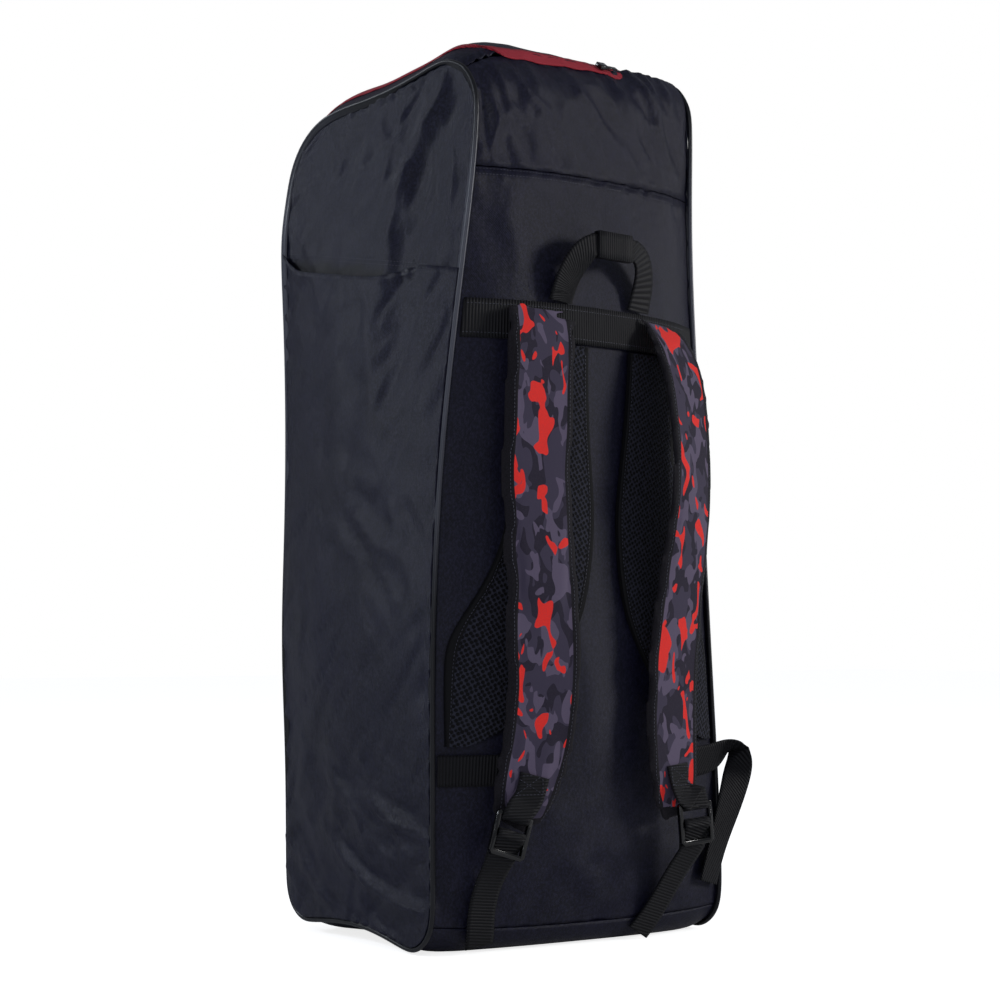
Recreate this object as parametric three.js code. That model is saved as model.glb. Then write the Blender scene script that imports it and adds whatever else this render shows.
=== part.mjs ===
// Cricket kit bag, standing on its base, in millimetres with +Z up.
// The origin is the centre of the base. The carrying side, with the straps, faces -Y, and the
// side panels face -X and +X. The soft body leans and twists a little as it rises.

import * as THREE from 'three';

// Driving sizes of the body
const bagHeight = 890;
const bagWidth = 351;
const bagDepth = 276;
const clothWall = 2;
const seamGap = 0.4;

// Body sections from the floor up. Levels are shares of bagHeight, half sizes follow bagWidth and
// bagDepth, shift is a share of bagWidth, twist is in degrees, backSwell is a share of bagDepth.
const sections = [
  { level: 0.0, width: 1.0, depth: 1.0, shift: 0.0, twist: 0.0, backSwell: 0.0 },
  { level: 0.083, width: 1.0, depth: 1.0, shift: -0.003, twist: 0.0, backSwell: 0.08 },
  { level: 0.189, width: 0.997, depth: 0.986, shift: -0.009, twist: 0.5, backSwell: 0.13 },
  { level: 0.333, width: 0.986, depth: 0.993, shift: -0.028, twist: 1.5, backSwell: 0.152 },
  { level: 0.488, width: 0.972, depth: 0.96, shift: -0.031, twist: 3.2, backSwell: 0.156 },
  { level: 0.617, width: 0.96, depth: 0.949, shift: -0.037, twist: 6.0, backSwell: 0.152 },
  { level: 0.725, width: 0.952, depth: 0.96, shift: -0.046, twist: 9.2, backSwell: 0.138 },
  { level: 0.809, width: 0.943, depth: 0.978, shift: -0.054, twist: 11.4, backSwell: 0.123 },
  { level: 0.862, width: 0.934, depth: 0.967, shift: -0.043, twist: 11.9, backSwell: 0.109 },
  { level: 1.0, width: 0.929, depth: 1.0, shift: -0.043, twist: 12.5, backSwell: 0.036 },
];

// Outline of a side panel, in its own plane
const outline = {
  topBack: 864, // height of the top edge at the back
  topFront: 840, // height of the top edge at the front
  topDip: 5, // how far the top edge sags between them
  rightRise: 38, // the right side panel stands this much taller
  bottomBack: 5,
  bottomFront: 14,
  bottomArch: 11,
  topBackRadius: 50,
  topFrontRadius: 80,
  bottomBackRadius: 40,
  bottomFrontRadius: 38,
};
const backSeam = { left: 757, right: 767, share: 0.88 }; // double seam under the crown
const baseSeamTurn = 0.72; // share of the lower back corner where the base is sewn on
const zipTurn = 0.62; // share of the upper back corner where the zip crosses

// How far each wall swells past its seams, and how square the swell is
const swell = {
  topLeft: 30,
  topRight: 4,
  front: 22,
  bottom: 28,
  side: 12,
  softSquare: 2.5,
  fullSquare: 4,
  topSquare: 8,
};

const piping = { radius: 2.5, out: 3.2, aside: 0.8, facets: 6 };
const zip = { width: 9, thick: 1.2, inset: 18, corner: 36, lift: 1 };
const slider = { length: 12, width: 9, thick: 4, place: 34 };
const puller = { length: 17, width: 5, thick: 1.4, rise: 1.2 };

// Patch pocket on each side panel: the mouth is a scoop below the slanted cross seam
const pocket = {
  seamBack: 657,
  seamFront: 702,
  mouthBack: -0.48, // shares of the half depth
  mouthFront: 0.93,
  mouthDip: 17,
  rampBack: 0.12, // shares of the mouth's length
  rampFront: 0.06,
  gape: 3,
  gapeReach: 90,
  lie: 0.5,
  lastRow: 24, // the whole rows of its cloth stop this far below the edge
};

// Webbing, padding and hardware
const webbing = { width: 30, thick: 1.8 };
const yoke = { low: 591, high: 629, margin: 6, thick: 2 };
const meshPad = { thick: 5, lift: 0.9 };
const strapPad = { width: 82, thick: 8 };
const buckle = { length: 42, rail: 4.2, bar: 5, thick: 5, slack: 0.7, bevel: 3.6 };
const webRise = { upper: 3.2, lower: 3.8, upperShare: 0.45, lowerShare: 0.75 };
const sleeve = { thick: 1.6, gap: 0.8, endGap: 3 };

// In the tables below x is a share of bagWidth, off (how far off the back panel) of bagDepth, and z
// of bagHeight. Tilts, leans and turns are in degrees.
const sized = (row) => ({
  ...row, x: row.x * bagWidth, off: row.off * bagDepth, z: row.z * bagHeight,
});
const sizedRows = (table) => ({ left: table.left.map(sized), right: table.right.map(sized) });

// Inner and outer border of a mesh pad: shares of bagHeight up, of bagWidth from the centre line
const meshBorders = [
  { height: 0.6607, inner: 0.0855, outer: 0.2963 },
  { height: 0.5843, inner: 0.0769, outer: 0.2963 },
  { height: 0.5169, inner: 0.0541, outer: 0.2991 },
  { height: 0.473, inner: 0.0427, outer: 0.3077 },
  { height: 0.4281, inner: 0.0484, outer: 0.3333 },
  { height: 0.3854, inner: 0.0655, outer: 0.3875 },
  { height: 0.3573, inner: 0.0883, outer: 0.433 },
  { height: 0.3303, inner: 0.1254, outer: 0.4644 },
  { height: 0.2944, inner: 0.1823, outer: 0.4672 },
  { height: 0.2562, inner: 0.2621, outer: 0.4672 },
  { height: 0.2348, inner: 0.3476, outer: 0.4672 },
  { height: 0.2236, inner: 0.416, outer: 0.4672 },
];

// Centre lines of the padded straps: across, off the back panel, up, tilt in degrees, and the
// width and thickness as shares of strapPad
const padRows = sizedRows({
  left: [
    { x: -0.2564, off: 0.0196, z: 0.7011, tilt: -10, width: 0.98, thick: 0.4 },
    { x: -0.2593, off: 0.0471, z: 0.6719, tilt: -11, width: 1, thick: 0.9 },
    { x: -0.2621, off: 0.0616, z: 0.618, tilt: -11, width: 1, thick: 1 },
    { x: -0.265, off: 0.0652, z: 0.5461, tilt: -11, width: 1, thick: 1 },
    { x: -0.2564, off: 0.0725, z: 0.4719, tilt: -12, width: 1, thick: 1 },
    { x: -0.2479, off: 0.0942, z: 0.3933, tilt: -13, width: 1, thick: 1 },
    { x: -0.245, off: 0.1087, z: 0.3258, tilt: -15, width: 1, thick: 1 },
    { x: -0.245, off: 0.0978, z: 0.2697, tilt: -14, width: 1, thick: 1 },
    { x: -0.2507, off: 0.0761, z: 0.2169, tilt: -12, width: 0.98, thick: 1 },
    { x: -0.2735, off: 0.0652, z: 0.1798, tilt: -12, width: 0.92, thick: 1 },
    { x: -0.3048, off: 0.058, z: 0.1483, tilt: -11, width: 0.72, thick: 0.9 },
    { x: -0.3162, off: 0.0543, z: 0.1382, tilt: -11, width: 0.5, thick: 0.7 },
  ],
  right: [
    { x: 0.2336, off: 0.0221, z: 0.6978, tilt: 11, width: 0.98, thick: 0.4 },
    { x: 0.2336, off: 0.0688, z: 0.6764, tilt: 12, width: 1, thick: 0.9 },
    { x: 0.2393, off: 0.1268, z: 0.6427, tilt: 14, width: 1, thick: 1 },
    { x: 0.245, off: 0.1522, z: 0.5888, tilt: 16, width: 1, thick: 1 },
    { x: 0.2536, off: 0.1667, z: 0.5247, tilt: 20, width: 1, thick: 1 },
    { x: 0.2507, off: 0.1522, z: 0.4775, tilt: 18, width: 1, thick: 1 },
    { x: 0.245, off: 0.1232, z: 0.4303, tilt: 14, width: 1, thick: 1 },
    { x: 0.2365, off: 0.0942, z: 0.3831, tilt: 11, width: 1, thick: 1 },
    { x: 0.2308, off: 0.0725, z: 0.3315, tilt: 9, width: 1, thick: 1 },
    { x: 0.2222, off: 0.0652, z: 0.2685, tilt: 9, width: 1, thick: 1 },
    { x: 0.2222, off: 0.0688, z: 0.2135, tilt: 9, width: 0.98, thick: 1 },
    { x: 0.2308, off: 0.0725, z: 0.1798, tilt: 10, width: 0.92, thick: 1 },
    { x: 0.2479, off: 0.0725, z: 0.1506, tilt: 10, width: 0.72, thick: 0.9 },
    { x: 0.2564, off: 0.0688, z: 0.1404, tilt: 10, width: 0.5, thick: 0.7 },
  ],
});

// Where each buckle sits, and which way the webbing runs through it
const buckleSeats = {
  left: { x: -0.3362, off: 0.1051, z: 0.1303, lean: 17, tilt: -4, patchTop: 0.1933 },
  right: { x: 0.2906, off: 0.1232, z: 0.1326, lean: -5, tilt: -4, patchTop: 0.1989 },
};

// Webbing from the buckle down to the bottom seam
const lowerRows = sizedRows({
  left: [
    { x: -0.359, off: 0.0435, z: 0.0831, tilt: -4 },
    { x: -0.3647, off: 0.0181, z: 0.0539, tilt: -3 },
    { x: -0.359, off: 0.0116, z: 0.0315, tilt: -2 },
    { x: -0.3533, off: 0.0125, z: 0.018, tilt: 0 },
    { x: -0.3476, off: 0.009, z: 0.0079, tilt: 0 },
  ],
  right: [
    { x: 0.2764, off: 0.0616, z: 0.0831, tilt: 2 },
    { x: 0.2536, off: 0.029, z: 0.0528, tilt: 4 },
    { x: 0.2308, off: 0.013, z: 0.0315, tilt: 3 },
    { x: 0.2108, off: 0.0087, z: 0.018, tilt: 1 },
    { x: 0.1937, off: 0.0072, z: 0.0079, tilt: 0 },
  ],
});

// Grab handle: its centre line, the width of the webbing there and its turn from across to up
const handleRows = [
  { x: -0.1852, off: 0.0109, z: 0.7092, turn: 0, width: 1, thick: 1 },
  { x: -0.1852, off: 0.0254, z: 0.7247, turn: 4, width: 1, thick: 1 },
  { x: -0.1795, off: 0.0471, z: 0.7427, turn: 16, width: 0.98, thick: 1.1 },
  { x: -0.1652, off: 0.0725, z: 0.7596, turn: 42, width: 0.92, thick: 1.3 },
  { x: -0.1453, off: 0.087, z: 0.7697, turn: 78, width: 0.78, thick: 1.6 },
  { x: -0.1282, off: 0.0906, z: 0.773, turn: 90, width: 0.733, thick: 1.667 },
  { x: 0.0228, off: 0.0906, z: 0.773, turn: 90, width: 0.733, thick: 1.667 },
  { x: 0.0484, off: 0.087, z: 0.7719, turn: 102, width: 0.78, thick: 1.6 },
  { x: 0.0883, off: 0.0725, z: 0.7618, turn: 138, width: 0.92, thick: 1.3 },
  { x: 0.114, off: 0.0471, z: 0.7427, turn: 164, width: 0.98, thick: 1.1 },
  { x: 0.1197, off: 0.0254, z: 0.7247, turn: 176, width: 1, thick: 1 },
  { x: 0.1197, off: 0.0109, z: 0.7092, turn: 180, width: 1, thick: 1 },
].map(sized);

// Side webbing: centre line with the direction of its width across, off and up
const sideRows = sizedRows({
  left: [
    { x: -0.3077, off: 0.0083, z: 0.1978, across: 0, out: 0.12, up: 1 },
    { x: -0.3932, off: 0.0087, z: 0.1978, across: 0, out: 0.1, up: 1 },
    { x: -0.4558, off: 0.0087, z: 0.1978, across: 0, out: 0.06, up: 1 },
    { x: -0.4872, off: 0.0094, z: 0.1978, across: 0, out: 0, up: 1 },
  ],
  right: [
    { x: 0.3362, off: 0.0109, z: 0.1978, across: 0, out: 0.12, up: 1 },
    { x: 0.416, off: 0.0145, z: 0.1989, across: 0, out: 0.1, up: 1 },
    { x: 0.4644, off: 0.0344, z: 0.2022, across: 0, out: 0.2, up: 0.97 },
    { x: 0.5071, off: 0.0489, z: 0.209, across: -0.1, out: 0.5, up: 0.85 },
    { x: 0.5385, off: 0.0543, z: 0.2135, across: -0.15, out: 0.82, up: 0.5 },
    { x: 0.5584, off: 0.0616, z: 0.2101, across: 0.15, out: 0.97, up: 0.15 },
    { x: 0.5613, off: 0.0616, z: 0.1966, across: 0.6, out: 0.75, up: -0.2 },
    { x: 0.5442, off: 0.058, z: 0.1742, across: 0.87, out: 0.36, up: -0.25 },
    { x: 0.5157, off: 0.0507, z: 0.1416, across: 0.94, out: 0.02, up: -0.2 },
    { x: 0.4843, off: 0.0362, z: 0.1101, across: 0.94, out: -0.22, up: -0.18 },
    { x: 0.4558, off: 0.0236, z: 0.0787, across: 0.94, out: -0.3, up: -0.14 },
    { x: 0.4416, off: 0.0203, z: 0.0584, across: 0.95, out: -0.28, up: -0.1 },
  ],
});

// Materials
const finish = {
  cloth: { color: 0x24242e, roughness: 0.72, metalness: 0 },
  clothDark: { color: 0x1b1b23, roughness: 0.7, metalness: 0 },
  piping: { color: 0x8f9097, roughness: 0.4, metalness: 0 },
  zip: { color: 0xc3263a, roughness: 0.6, metalness: 0 },
  webbing: { color: 0x141517, roughness: 0.8, metalness: 0 },
  mesh: { color: 0x101114, roughness: 0.9, metalness: 0 },
  print: { color: 0x4a4356, roughness: 0.75, metalness: 0 },
  plastic: { color: 0x0c0c0d, roughness: 0.3, metalness: 0 },
};

const group = new THREE.Group();

function addPiece(name, geometry, finishName) {
  const mesh = new THREE.Mesh(geometry, new THREE.MeshStandardMaterial(finish[finishName]));
  mesh.name = name;
  group.add(mesh);
  return mesh;
}

// Smooth value of one column of the section table at a height
function sectionValue(column, z) {
  const level = THREE.MathUtils.clamp(z / bagHeight, 0, 1);
  let i = 0;
  while (i < sections.length - 2 && level > sections[i + 1].level) {
    i += 1;
  }
  const a = sections[i];
  const b = sections[i + 1];
  const before = sections[Math.max(i - 1, 0)];
  const after = sections[Math.min(i + 2, sections.length - 1)];
  const span = b.level - a.level;
  const t = (level - a.level) / span;
  const slopeA = ((b[column] - before[column]) / (b.level - before.level)) * span;
  const slopeB = ((after[column] - a[column]) / (after.level - a.level)) * span;
  const t2 = t * t;
  const t3 = t2 * t;
  return (
    (2 * t3 - 3 * t2 + 1) * a[column] + (t3 - 2 * t2 + t) * slopeA +
    (3 * t2 - 2 * t3) * b[column] + (t3 - t2) * slopeB
  );
}

const halfWidthAt = (z) => (bagWidth / 2) * sectionValue('width', z);
const halfDepthAt = (z) => (bagDepth / 2) * sectionValue('depth', z);
const backSwellAt = (z) => bagDepth * sectionValue('backSwell', z);

// Carries a point of the straight body to its leaning, twisted place
function place(x, y, z) {
  const twist = THREE.MathUtils.degToRad(sectionValue('twist', z));
  return new THREE.Vector3(
    x * Math.cos(twist) - y * Math.sin(twist) + bagWidth * sectionValue('shift', z),
    x * Math.sin(twist) + y * Math.cos(twist),
    z,
  );
}

const mix = (a, b, t) => a + (b - a) * t;
const eased = (t) => t * t * (3 - 2 * t);

// A point of a side panel's outline. side is -1 at the left and 1 at the right, t runs along the
// named stretch. It gives y and z, the outward direction, and the swell of the wall that starts
// there.
function outlinePoint(stretch, t, side) {
  const rise = (outline.rightRise * (side + 1)) / 2;
  const topBack = outline.topBack + rise;
  const topFront = outline.topFront + rise;
  const topSwell = side < 0 ? swell.topLeft : swell.topRight;
  const turn = (t * Math.PI) / 2;
  const sine = Math.sin(turn);
  const cosine = Math.cos(turn);
  let r;
  let z;
  let y;
  switch (stretch) {
    case 'backLowCorner':
      r = outline.bottomBackRadius;
      z = outline.bottomBack + r * (1 - cosine);
      y = -(halfDepthAt(z) - r * (1 - sine));
      return {
        y, z, ny: -sine, nz: -cosine,
        swell: mix(swell.bottom, backSwellAt(z), eased(t)),
        square: mix(swell.fullSquare, swell.softSquare, t),
      };
    case 'back': {
      const low = outline.bottomBack + outline.bottomBackRadius;
      const high = topBack - outline.topBackRadius;
      const seam = mix(backSeam.left, backSeam.right, (side + 1) / 2);
      z = t < backSeam.share
        ? mix(low, seam, t / backSeam.share)
        : mix(seam, high, (t - backSeam.share) / (1 - backSeam.share));
      return {
        y: -halfDepthAt(z), z, ny: -1, nz: 0, swell: backSwellAt(z), square: swell.softSquare,
      };
    }
    case 'backHighCorner':
      r = outline.topBackRadius;
      z = topBack - r * (1 - sine);
      y = -(halfDepthAt(z) - r * (1 - cosine));
      return {
        y, z, ny: -cosine, nz: sine,
        swell: mix(backSwellAt(z), topSwell, eased(t)),
        square: mix(swell.softSquare, swell.topSquare, t),
      };
    case 'top': {
      const start = -(halfDepthAt(topBack) - outline.topBackRadius);
      const end = halfDepthAt(topFront) - outline.topFrontRadius;
      y = mix(start, end, t);
      z = mix(topBack, topFront, t) - outline.topDip * Math.sin(Math.PI * t);
      return { y, z, ny: 0, nz: 1, swell: topSwell, square: swell.topSquare };
    }
    case 'frontHighCorner':
      r = outline.topFrontRadius;
      z = topFront - r * (1 - cosine);
      y = halfDepthAt(z) - r * (1 - sine);
      return {
        y, z, ny: sine, nz: cosine,
        swell: mix(topSwell, swell.front, t),
        square: mix(swell.topSquare, swell.softSquare, t),
      };
    case 'front': {
      const high = topFront - outline.topFrontRadius;
      const low = outline.bottomFront + outline.bottomFrontRadius;
      z = mix(high, low, t);
      return {
        y: halfDepthAt(z), z, ny: 1, nz: 0, swell: swell.front, square: swell.softSquare,
      };
    }
    case 'frontLowCorner':
      r = outline.bottomFrontRadius;
      z = outline.bottomFront + r * (1 - sine);
      y = halfDepthAt(z) - r * (1 - cosine);
      return {
        y, z, ny: cosine, nz: -sine,
        swell: mix(swell.front, swell.bottom, t),
        square: mix(swell.softSquare, swell.fullSquare, t),
      };
    default: {
      const start = halfDepthAt(outline.bottomFront) - outline.bottomFrontRadius;
      const end = -(halfDepthAt(outline.bottomBack) - outline.bottomBackRadius);
      y = mix(start, end, t);
      z = mix(outline.bottomFront, outline.bottomBack, t) + outline.bottomArch * Math.sin(Math.PI * t);
      return { y, z, ny: 0, nz: -1, swell: swell.bottom, square: swell.fullSquare };
    }
  }
}

const edgeShares = [0, 0.06, 0.12, 0.19, 0.27, 0.36, 0.46, 0.56, 0.66, 0.76, 0.88, 1];

// The stops round an outline, from the lower back corner up the back and round
const stops = {
  backLowCorner: [0, 0.25, 0.5, baseSeamTurn, 1],
  back: [...edgeShares.map((share) => share * backSeam.share), 1],
  backHighCorner: [0, 0.25, 0.5, zipTurn, 0.8, 1],
  top: [0, 0.2, 0.4, 0.6, 0.8, 1],
  frontHighCorner: [0, 0.25, 0.5, 0.75, 1],
  front: [0, ...edgeShares.slice(1).map((share) => share * 0.92), 1],
  frontLowCorner: [0, 0.28, 0.5, 0.75, 1],
  bottom: [0, 0.16, 0.33, 0.5, 0.67, 0.84, 1],
};
const stretchOrder = Object.keys(stops);

// Stops between two places, as stretch and share, for one wall
function stopsBetween(first, firstShare, last, lastShare) {
  const found = [];
  const start = stretchOrder.indexOf(first);
  let index = start;
  for (;;) {
    const stretch = stretchOrder[index % stretchOrder.length];
    const atEnd = stretch === last && (index > start || lastShare > firstShare);
    for (const share of stops[stretch]) {
      const afterStart = index > start || share >= firstShare - 1e-9;
      const beforeEnd = !atEnd || share <= lastShare + 1e-9;
      const repeated = index > start && share === 0;
      if (afterStart && beforeEnd && !repeated) {
        found.push([stretch, share]);
      }
    }
    if (atEnd) {
      return found;
    }
    index += 1;
  }
}

// A point of the gusset, the walls between the two outlines. across is in millimetres from the
// centre line, lift is measured outwards from the cloth's outer face.
function gussetPoint(stretch, share, acrossShare, lift) {
  const left = outlinePoint(stretch, share, -1);
  const right = outlinePoint(stretch, share, 1);
  const t = (acrossShare + 1) / 2;
  const z = mix(left.z, right.z, t);
  const rise =
    mix(left.swell, right.swell, t) *
      (1 - Math.abs(acrossShare) ** mix(left.square, right.square, t)) + lift;
  const half = halfWidthAt(z) - clothWall / 2 - seamGap;
  return place(
    acrossShare * half,
    mix(left.y, right.y, t) + mix(left.ny, right.ny, t) * rise,
    Math.max(z + mix(left.nz, right.nz, t) * rise, -Math.min(lift, 0)),
  );
}

// A closed wall between two grids of points with the same rows and columns
function wallGeometry(rows, columns, outerPoint, innerPoint) {
  const positions = [];
  const indices = [];
  const count = rows * columns;
  for (const pointAt of [outerPoint, innerPoint]) {
    for (let i = 0; i < rows; i += 1) {
      for (let j = 0; j < columns; j += 1) {
        positions.push(...pointAt(i, j).toArray());
      }
    }
  }
  const quad = (a, b, c, d) => indices.push(a, b, c, a, c, d);
  for (let i = 0; i < rows - 1; i += 1) {
    for (let j = 0; j < columns - 1; j += 1) {
      const a = i * columns + j;
      quad(a, a + 1, a + columns + 1, a + columns);
      quad(count + a, count + a + columns, count + a + columns + 1, count + a + 1);
    }
  }
  const rim = [];
  for (let j = 0; j < columns - 1; j += 1) {
    rim.push(j);
  }
  for (let i = 0; i < rows - 1; i += 1) {
    rim.push(i * columns + columns - 1);
  }
  for (let j = columns - 1; j > 0; j -= 1) {
    rim.push((rows - 1) * columns + j);
  }
  for (let i = rows - 1; i > 0; i -= 1) {
    rim.push(i * columns);
  }
  rim.forEach((a, k) => {
    const b = rim[(k + 1) % rim.length];
    quad(a, count + a, count + b, b);
  });
  return facingOut(positions, indices);
}

// A closed solid through sections of equal point counts, capped at the ends or joined as a ring
function loftGeometry(sectionList, closed = false) {
  const positions = sectionList.flat().flatMap((point) => point.toArray());
  const size = sectionList[0].length;
  const indices = [];
  const last = closed ? sectionList.length : sectionList.length - 1;
  for (let i = 0; i < last; i += 1) {
    const here = i * size;
    const next = ((i + 1) % sectionList.length) * size;
    for (let j = 0; j < size; j += 1) {
      const k = (j + 1) % size;
      indices.push(here + j, here + k, next + k, here + j, next + k, next + j);
    }
  }
  if (!closed) {
    const end = (sectionList.length - 1) * size;
    for (let j = 1; j < size - 1; j += 1) {
      indices.push(0, j + 1, j, end, end + j, end + j + 1);
    }
  }
  return facingOut(positions, indices);
}

// Turns a closed surface so that its faces point out
function facingOut(positions, indices) {
  let volume = 0;
  const corner = (k) => new THREE.Vector3().fromArray(positions, indices[k] * 3);
  for (let k = 0; k < indices.length; k += 3) {
    volume += corner(k).dot(corner(k + 1).cross(corner(k + 2)));
  }
  const turned = volume < 0 ? indices.slice().reverse() : indices;
  const geometry = new THREE.BufferGeometry();
  geometry.setAttribute('position', new THREE.Float32BufferAttribute(positions, 3));
  geometry.setIndex(turned);
  geometry.computeVertexNormals();
  return geometry;
}

// One wall of the gusset, between two places round the outline
const acrossStops = [-1, -0.94, -0.82, -0.62, -0.34, 0, 0.34, 0.62, 0.82, 0.94, 1];
const wallInset = 0.6; // keeps two walls apart along their seam

function gussetWall(name, first, firstShare, last, lastShare, finishName) {
  const list = stopsBetween(first, firstShare, last, lastShare);
  const ends = [0, list.length - 1];
  const pointAt = (lift) => (i, j) => {
    const [stretch, share] = list[i];
    const point = gussetPoint(stretch, share, acrossStops[j], lift);
    if (ends.includes(i)) {
      const [nextStretch, nextShare] = list[i === 0 ? 1 : i - 1];
      const next = gussetPoint(nextStretch, nextShare, acrossStops[j], lift);
      point.lerp(next, wallInset / point.distanceTo(next));
    }
    return point;
  };
  const geometry = wallGeometry(list.length, acrossStops.length, pointAt(0), pointAt(-clothWall));
  addPiece(name, geometry, finishName);
}

// Side panel outlines as lists of y and z, and the blend of four edges over the panel
function edgeList(first, firstShare, last, lastShare, side) {
  return stopsBetween(first, firstShare, last, lastShare).map(([stretch, share]) => {
    const { y, z } = outlinePoint(stretch, share, side);
    return new THREE.Vector2(y, z);
  });
}

function coonsPoint(bottom, top, back, front, i, j) {
  const u = j / (bottom.length - 1);
  const v = i / (back.length - 1);
  const n = bottom.length - 1;
  const blend = (key) =>
    mix(bottom[j][key], top[j][key], v) + mix(back[i][key], front[i][key], u) -
    mix(mix(bottom[0][key], bottom[n][key], u), mix(top[0][key], top[n][key], u), v);
  return new THREE.Vector2(blend('x'), blend('y'));
}

// Outward swell of a side panel at y and z
function sideSwellAt(y, z, side) {
  const rise = (outline.rightRise * (side + 1)) / 2;
  const half = halfDepthAt(z);
  const top = mix(outline.topBack, outline.topFront, (y / half + 1) / 2) + rise;
  const low = mix(outline.bottomBack, outline.bottomFront, (y / half + 1) / 2);
  const up = (z - low) / (top - low);
  const across = Math.max(1 - (y / half) ** 2, 0);
  return swell.side * across * Math.max(1 - Math.abs(2 * up - 1) ** 4, 0);
}

function sidePoint(y, z, side, lift) {
  return place(side * (halfWidthAt(z) - clothWall / 2 + sideSwellAt(y, z, side) + lift), y, z);
}

function sideEdges(side) {
  return {
    back: edgeList('backLowCorner', 0.5, 'backHighCorner', 0.5, side),
    top: edgeList('backHighCorner', 0.5, 'frontHighCorner', 0.5, side),
    front: edgeList('frontHighCorner', 0.5, 'frontLowCorner', 0.5, side).reverse(),
    bottom: edgeList('frontLowCorner', 0.5, 'backLowCorner', 0.5, side).reverse(),
  };
}

function sidePanel(name, side) {
  const { back, top, front, bottom } = sideEdges(side);
  const pointAt = (lift) => (i, j) => {
    const { x: y, y: z } = coonsPoint(bottom, top, back, front, i, j);
    return sidePoint(y, z, side, lift);
  };
  addPiece(name, wallGeometry(back.length, bottom.length, pointAt(clothWall), pointAt(0)), 'clothDark');
}

// Height of the pocket's upper edge at a share of the half depth, -1 at the back
function pocketEdge(share) {
  const seam = mix(pocket.seamBack, pocket.seamFront, (share + 1) / 2);
  const along = (share - pocket.mouthBack) / (pocket.mouthFront - pocket.mouthBack);
  if (along <= 0 || along >= 1) {
    return { z: seam, open: 0 };
  }
  const open = eased(Math.min(along / pocket.rampBack, (1 - along) / pocket.rampFront, 1));
  return { z: seam - pocket.mouthDip * open, open };
}

function sidePocket(name, side) {
  const { back, top, front, bottom } = sideEdges(side);
  const columns = bottom.map((_, j) =>
    back.map((__, i) => coonsPoint(bottom, top, back, front, i, j)));
  const edgeOf = ({ x: y, y: z }) => pocketEdge(THREE.MathUtils.clamp(y / halfDepthAt(z), -1, 1));
  const above = columns[0].filter((point) => point.y > edgeOf(point).z - pocket.lastRow);
  const rows = back.length - above.length;
  const cut = columns.map((column) => {
    const kept = column.slice(0, rows);
    const next = column[rows];
    const last = kept[rows - 1];
    const aim = edgeOf(last).z;
    kept.push(last.clone().lerp(next, (aim - last.y) / (next.y - last.y)));
    return kept;
  });
  const pointAt = (lift) => (i, j) => {
    const { x: y, y: z } = cut[j][i];
    const edge = edgeOf(cut[j][i]);
    const near = Math.max(1 - Math.max(edge.z - z, 0) / pocket.gapeReach, 0);
    const gape = pocket.gape * edge.open * near * near;
    return sidePoint(y, z, side, clothWall + pocket.lie + gape + lift);
  };
  addPiece(name, wallGeometry(rows + 1, bottom.length, pointAt(clothWall), pointAt(0)), 'clothDark');
}

// Corded edge round a side panel, one closed ring
function pipingRing(name, side) {
  const list = stretchOrder.flatMap((stretch) =>
    stops[stretch].slice(1).map((share) => [stretch, share]));
  const ring = list.map(([stretch, share]) => {
    const { y, z, ny, nz } = outlinePoint(stretch, share, side);
    return Array.from({ length: piping.facets }, (_, k) => {
      const angle = (k / piping.facets) * 2 * Math.PI;
      const out = piping.out + piping.radius * Math.sin(angle);
      const aside = piping.aside + piping.radius * Math.cos(angle);
      return place(side * (halfWidthAt(z) + aside), y + ny * out, z + nz * out);
    });
  });
  addPiece(name, loftGeometry(ring, true), 'piping');
}

// Lengths of the stretches that the zip follows, from where it crosses the back of the lid over
// the top and down the front
function zipStretches() {
  const { topBackRadius, topFrontRadius, bottomFrontRadius } = outline;
  const frontHeight = outline.topFront - outline.bottomFront;
  return [
    ['backHighCorner', zipTurn, (1 - zipTurn) * topBackRadius * (Math.PI / 2)],
    ['top', 0, 2 * halfDepthAt(outline.topBack) - topBackRadius - topFrontRadius],
    ['frontHighCorner', 0, topFrontRadius * (Math.PI / 2)],
    ['front', 0, frontHeight - topFrontRadius - bottomFrontRadius],
  ];
}

function zipAhead(stretch, share) {
  let ahead = 0;
  for (const [name, start, length] of zipStretches()) {
    if (name === stretch) {
      return ahead + ((share - start) / (1 - start)) * length;
    }
    ahead += length;
  }
  return ahead;
}

function zipPoint(ahead, across, lift) {
  const list = zipStretches();
  let rest = ahead;
  let k = 0;
  while (k < list.length - 1 && rest > list[k][2]) {
    rest -= list[k][2];
    k += 1;
  }
  const [stretch, start, length] = list[k];
  const share = start + (rest / length) * (1 - start);
  const half = halfWidthAt(outlinePoint(stretch, share, -1).z) - clothWall / 2 - seamGap;
  return gussetPoint(stretch, share, across / half, lift);
}

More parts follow.
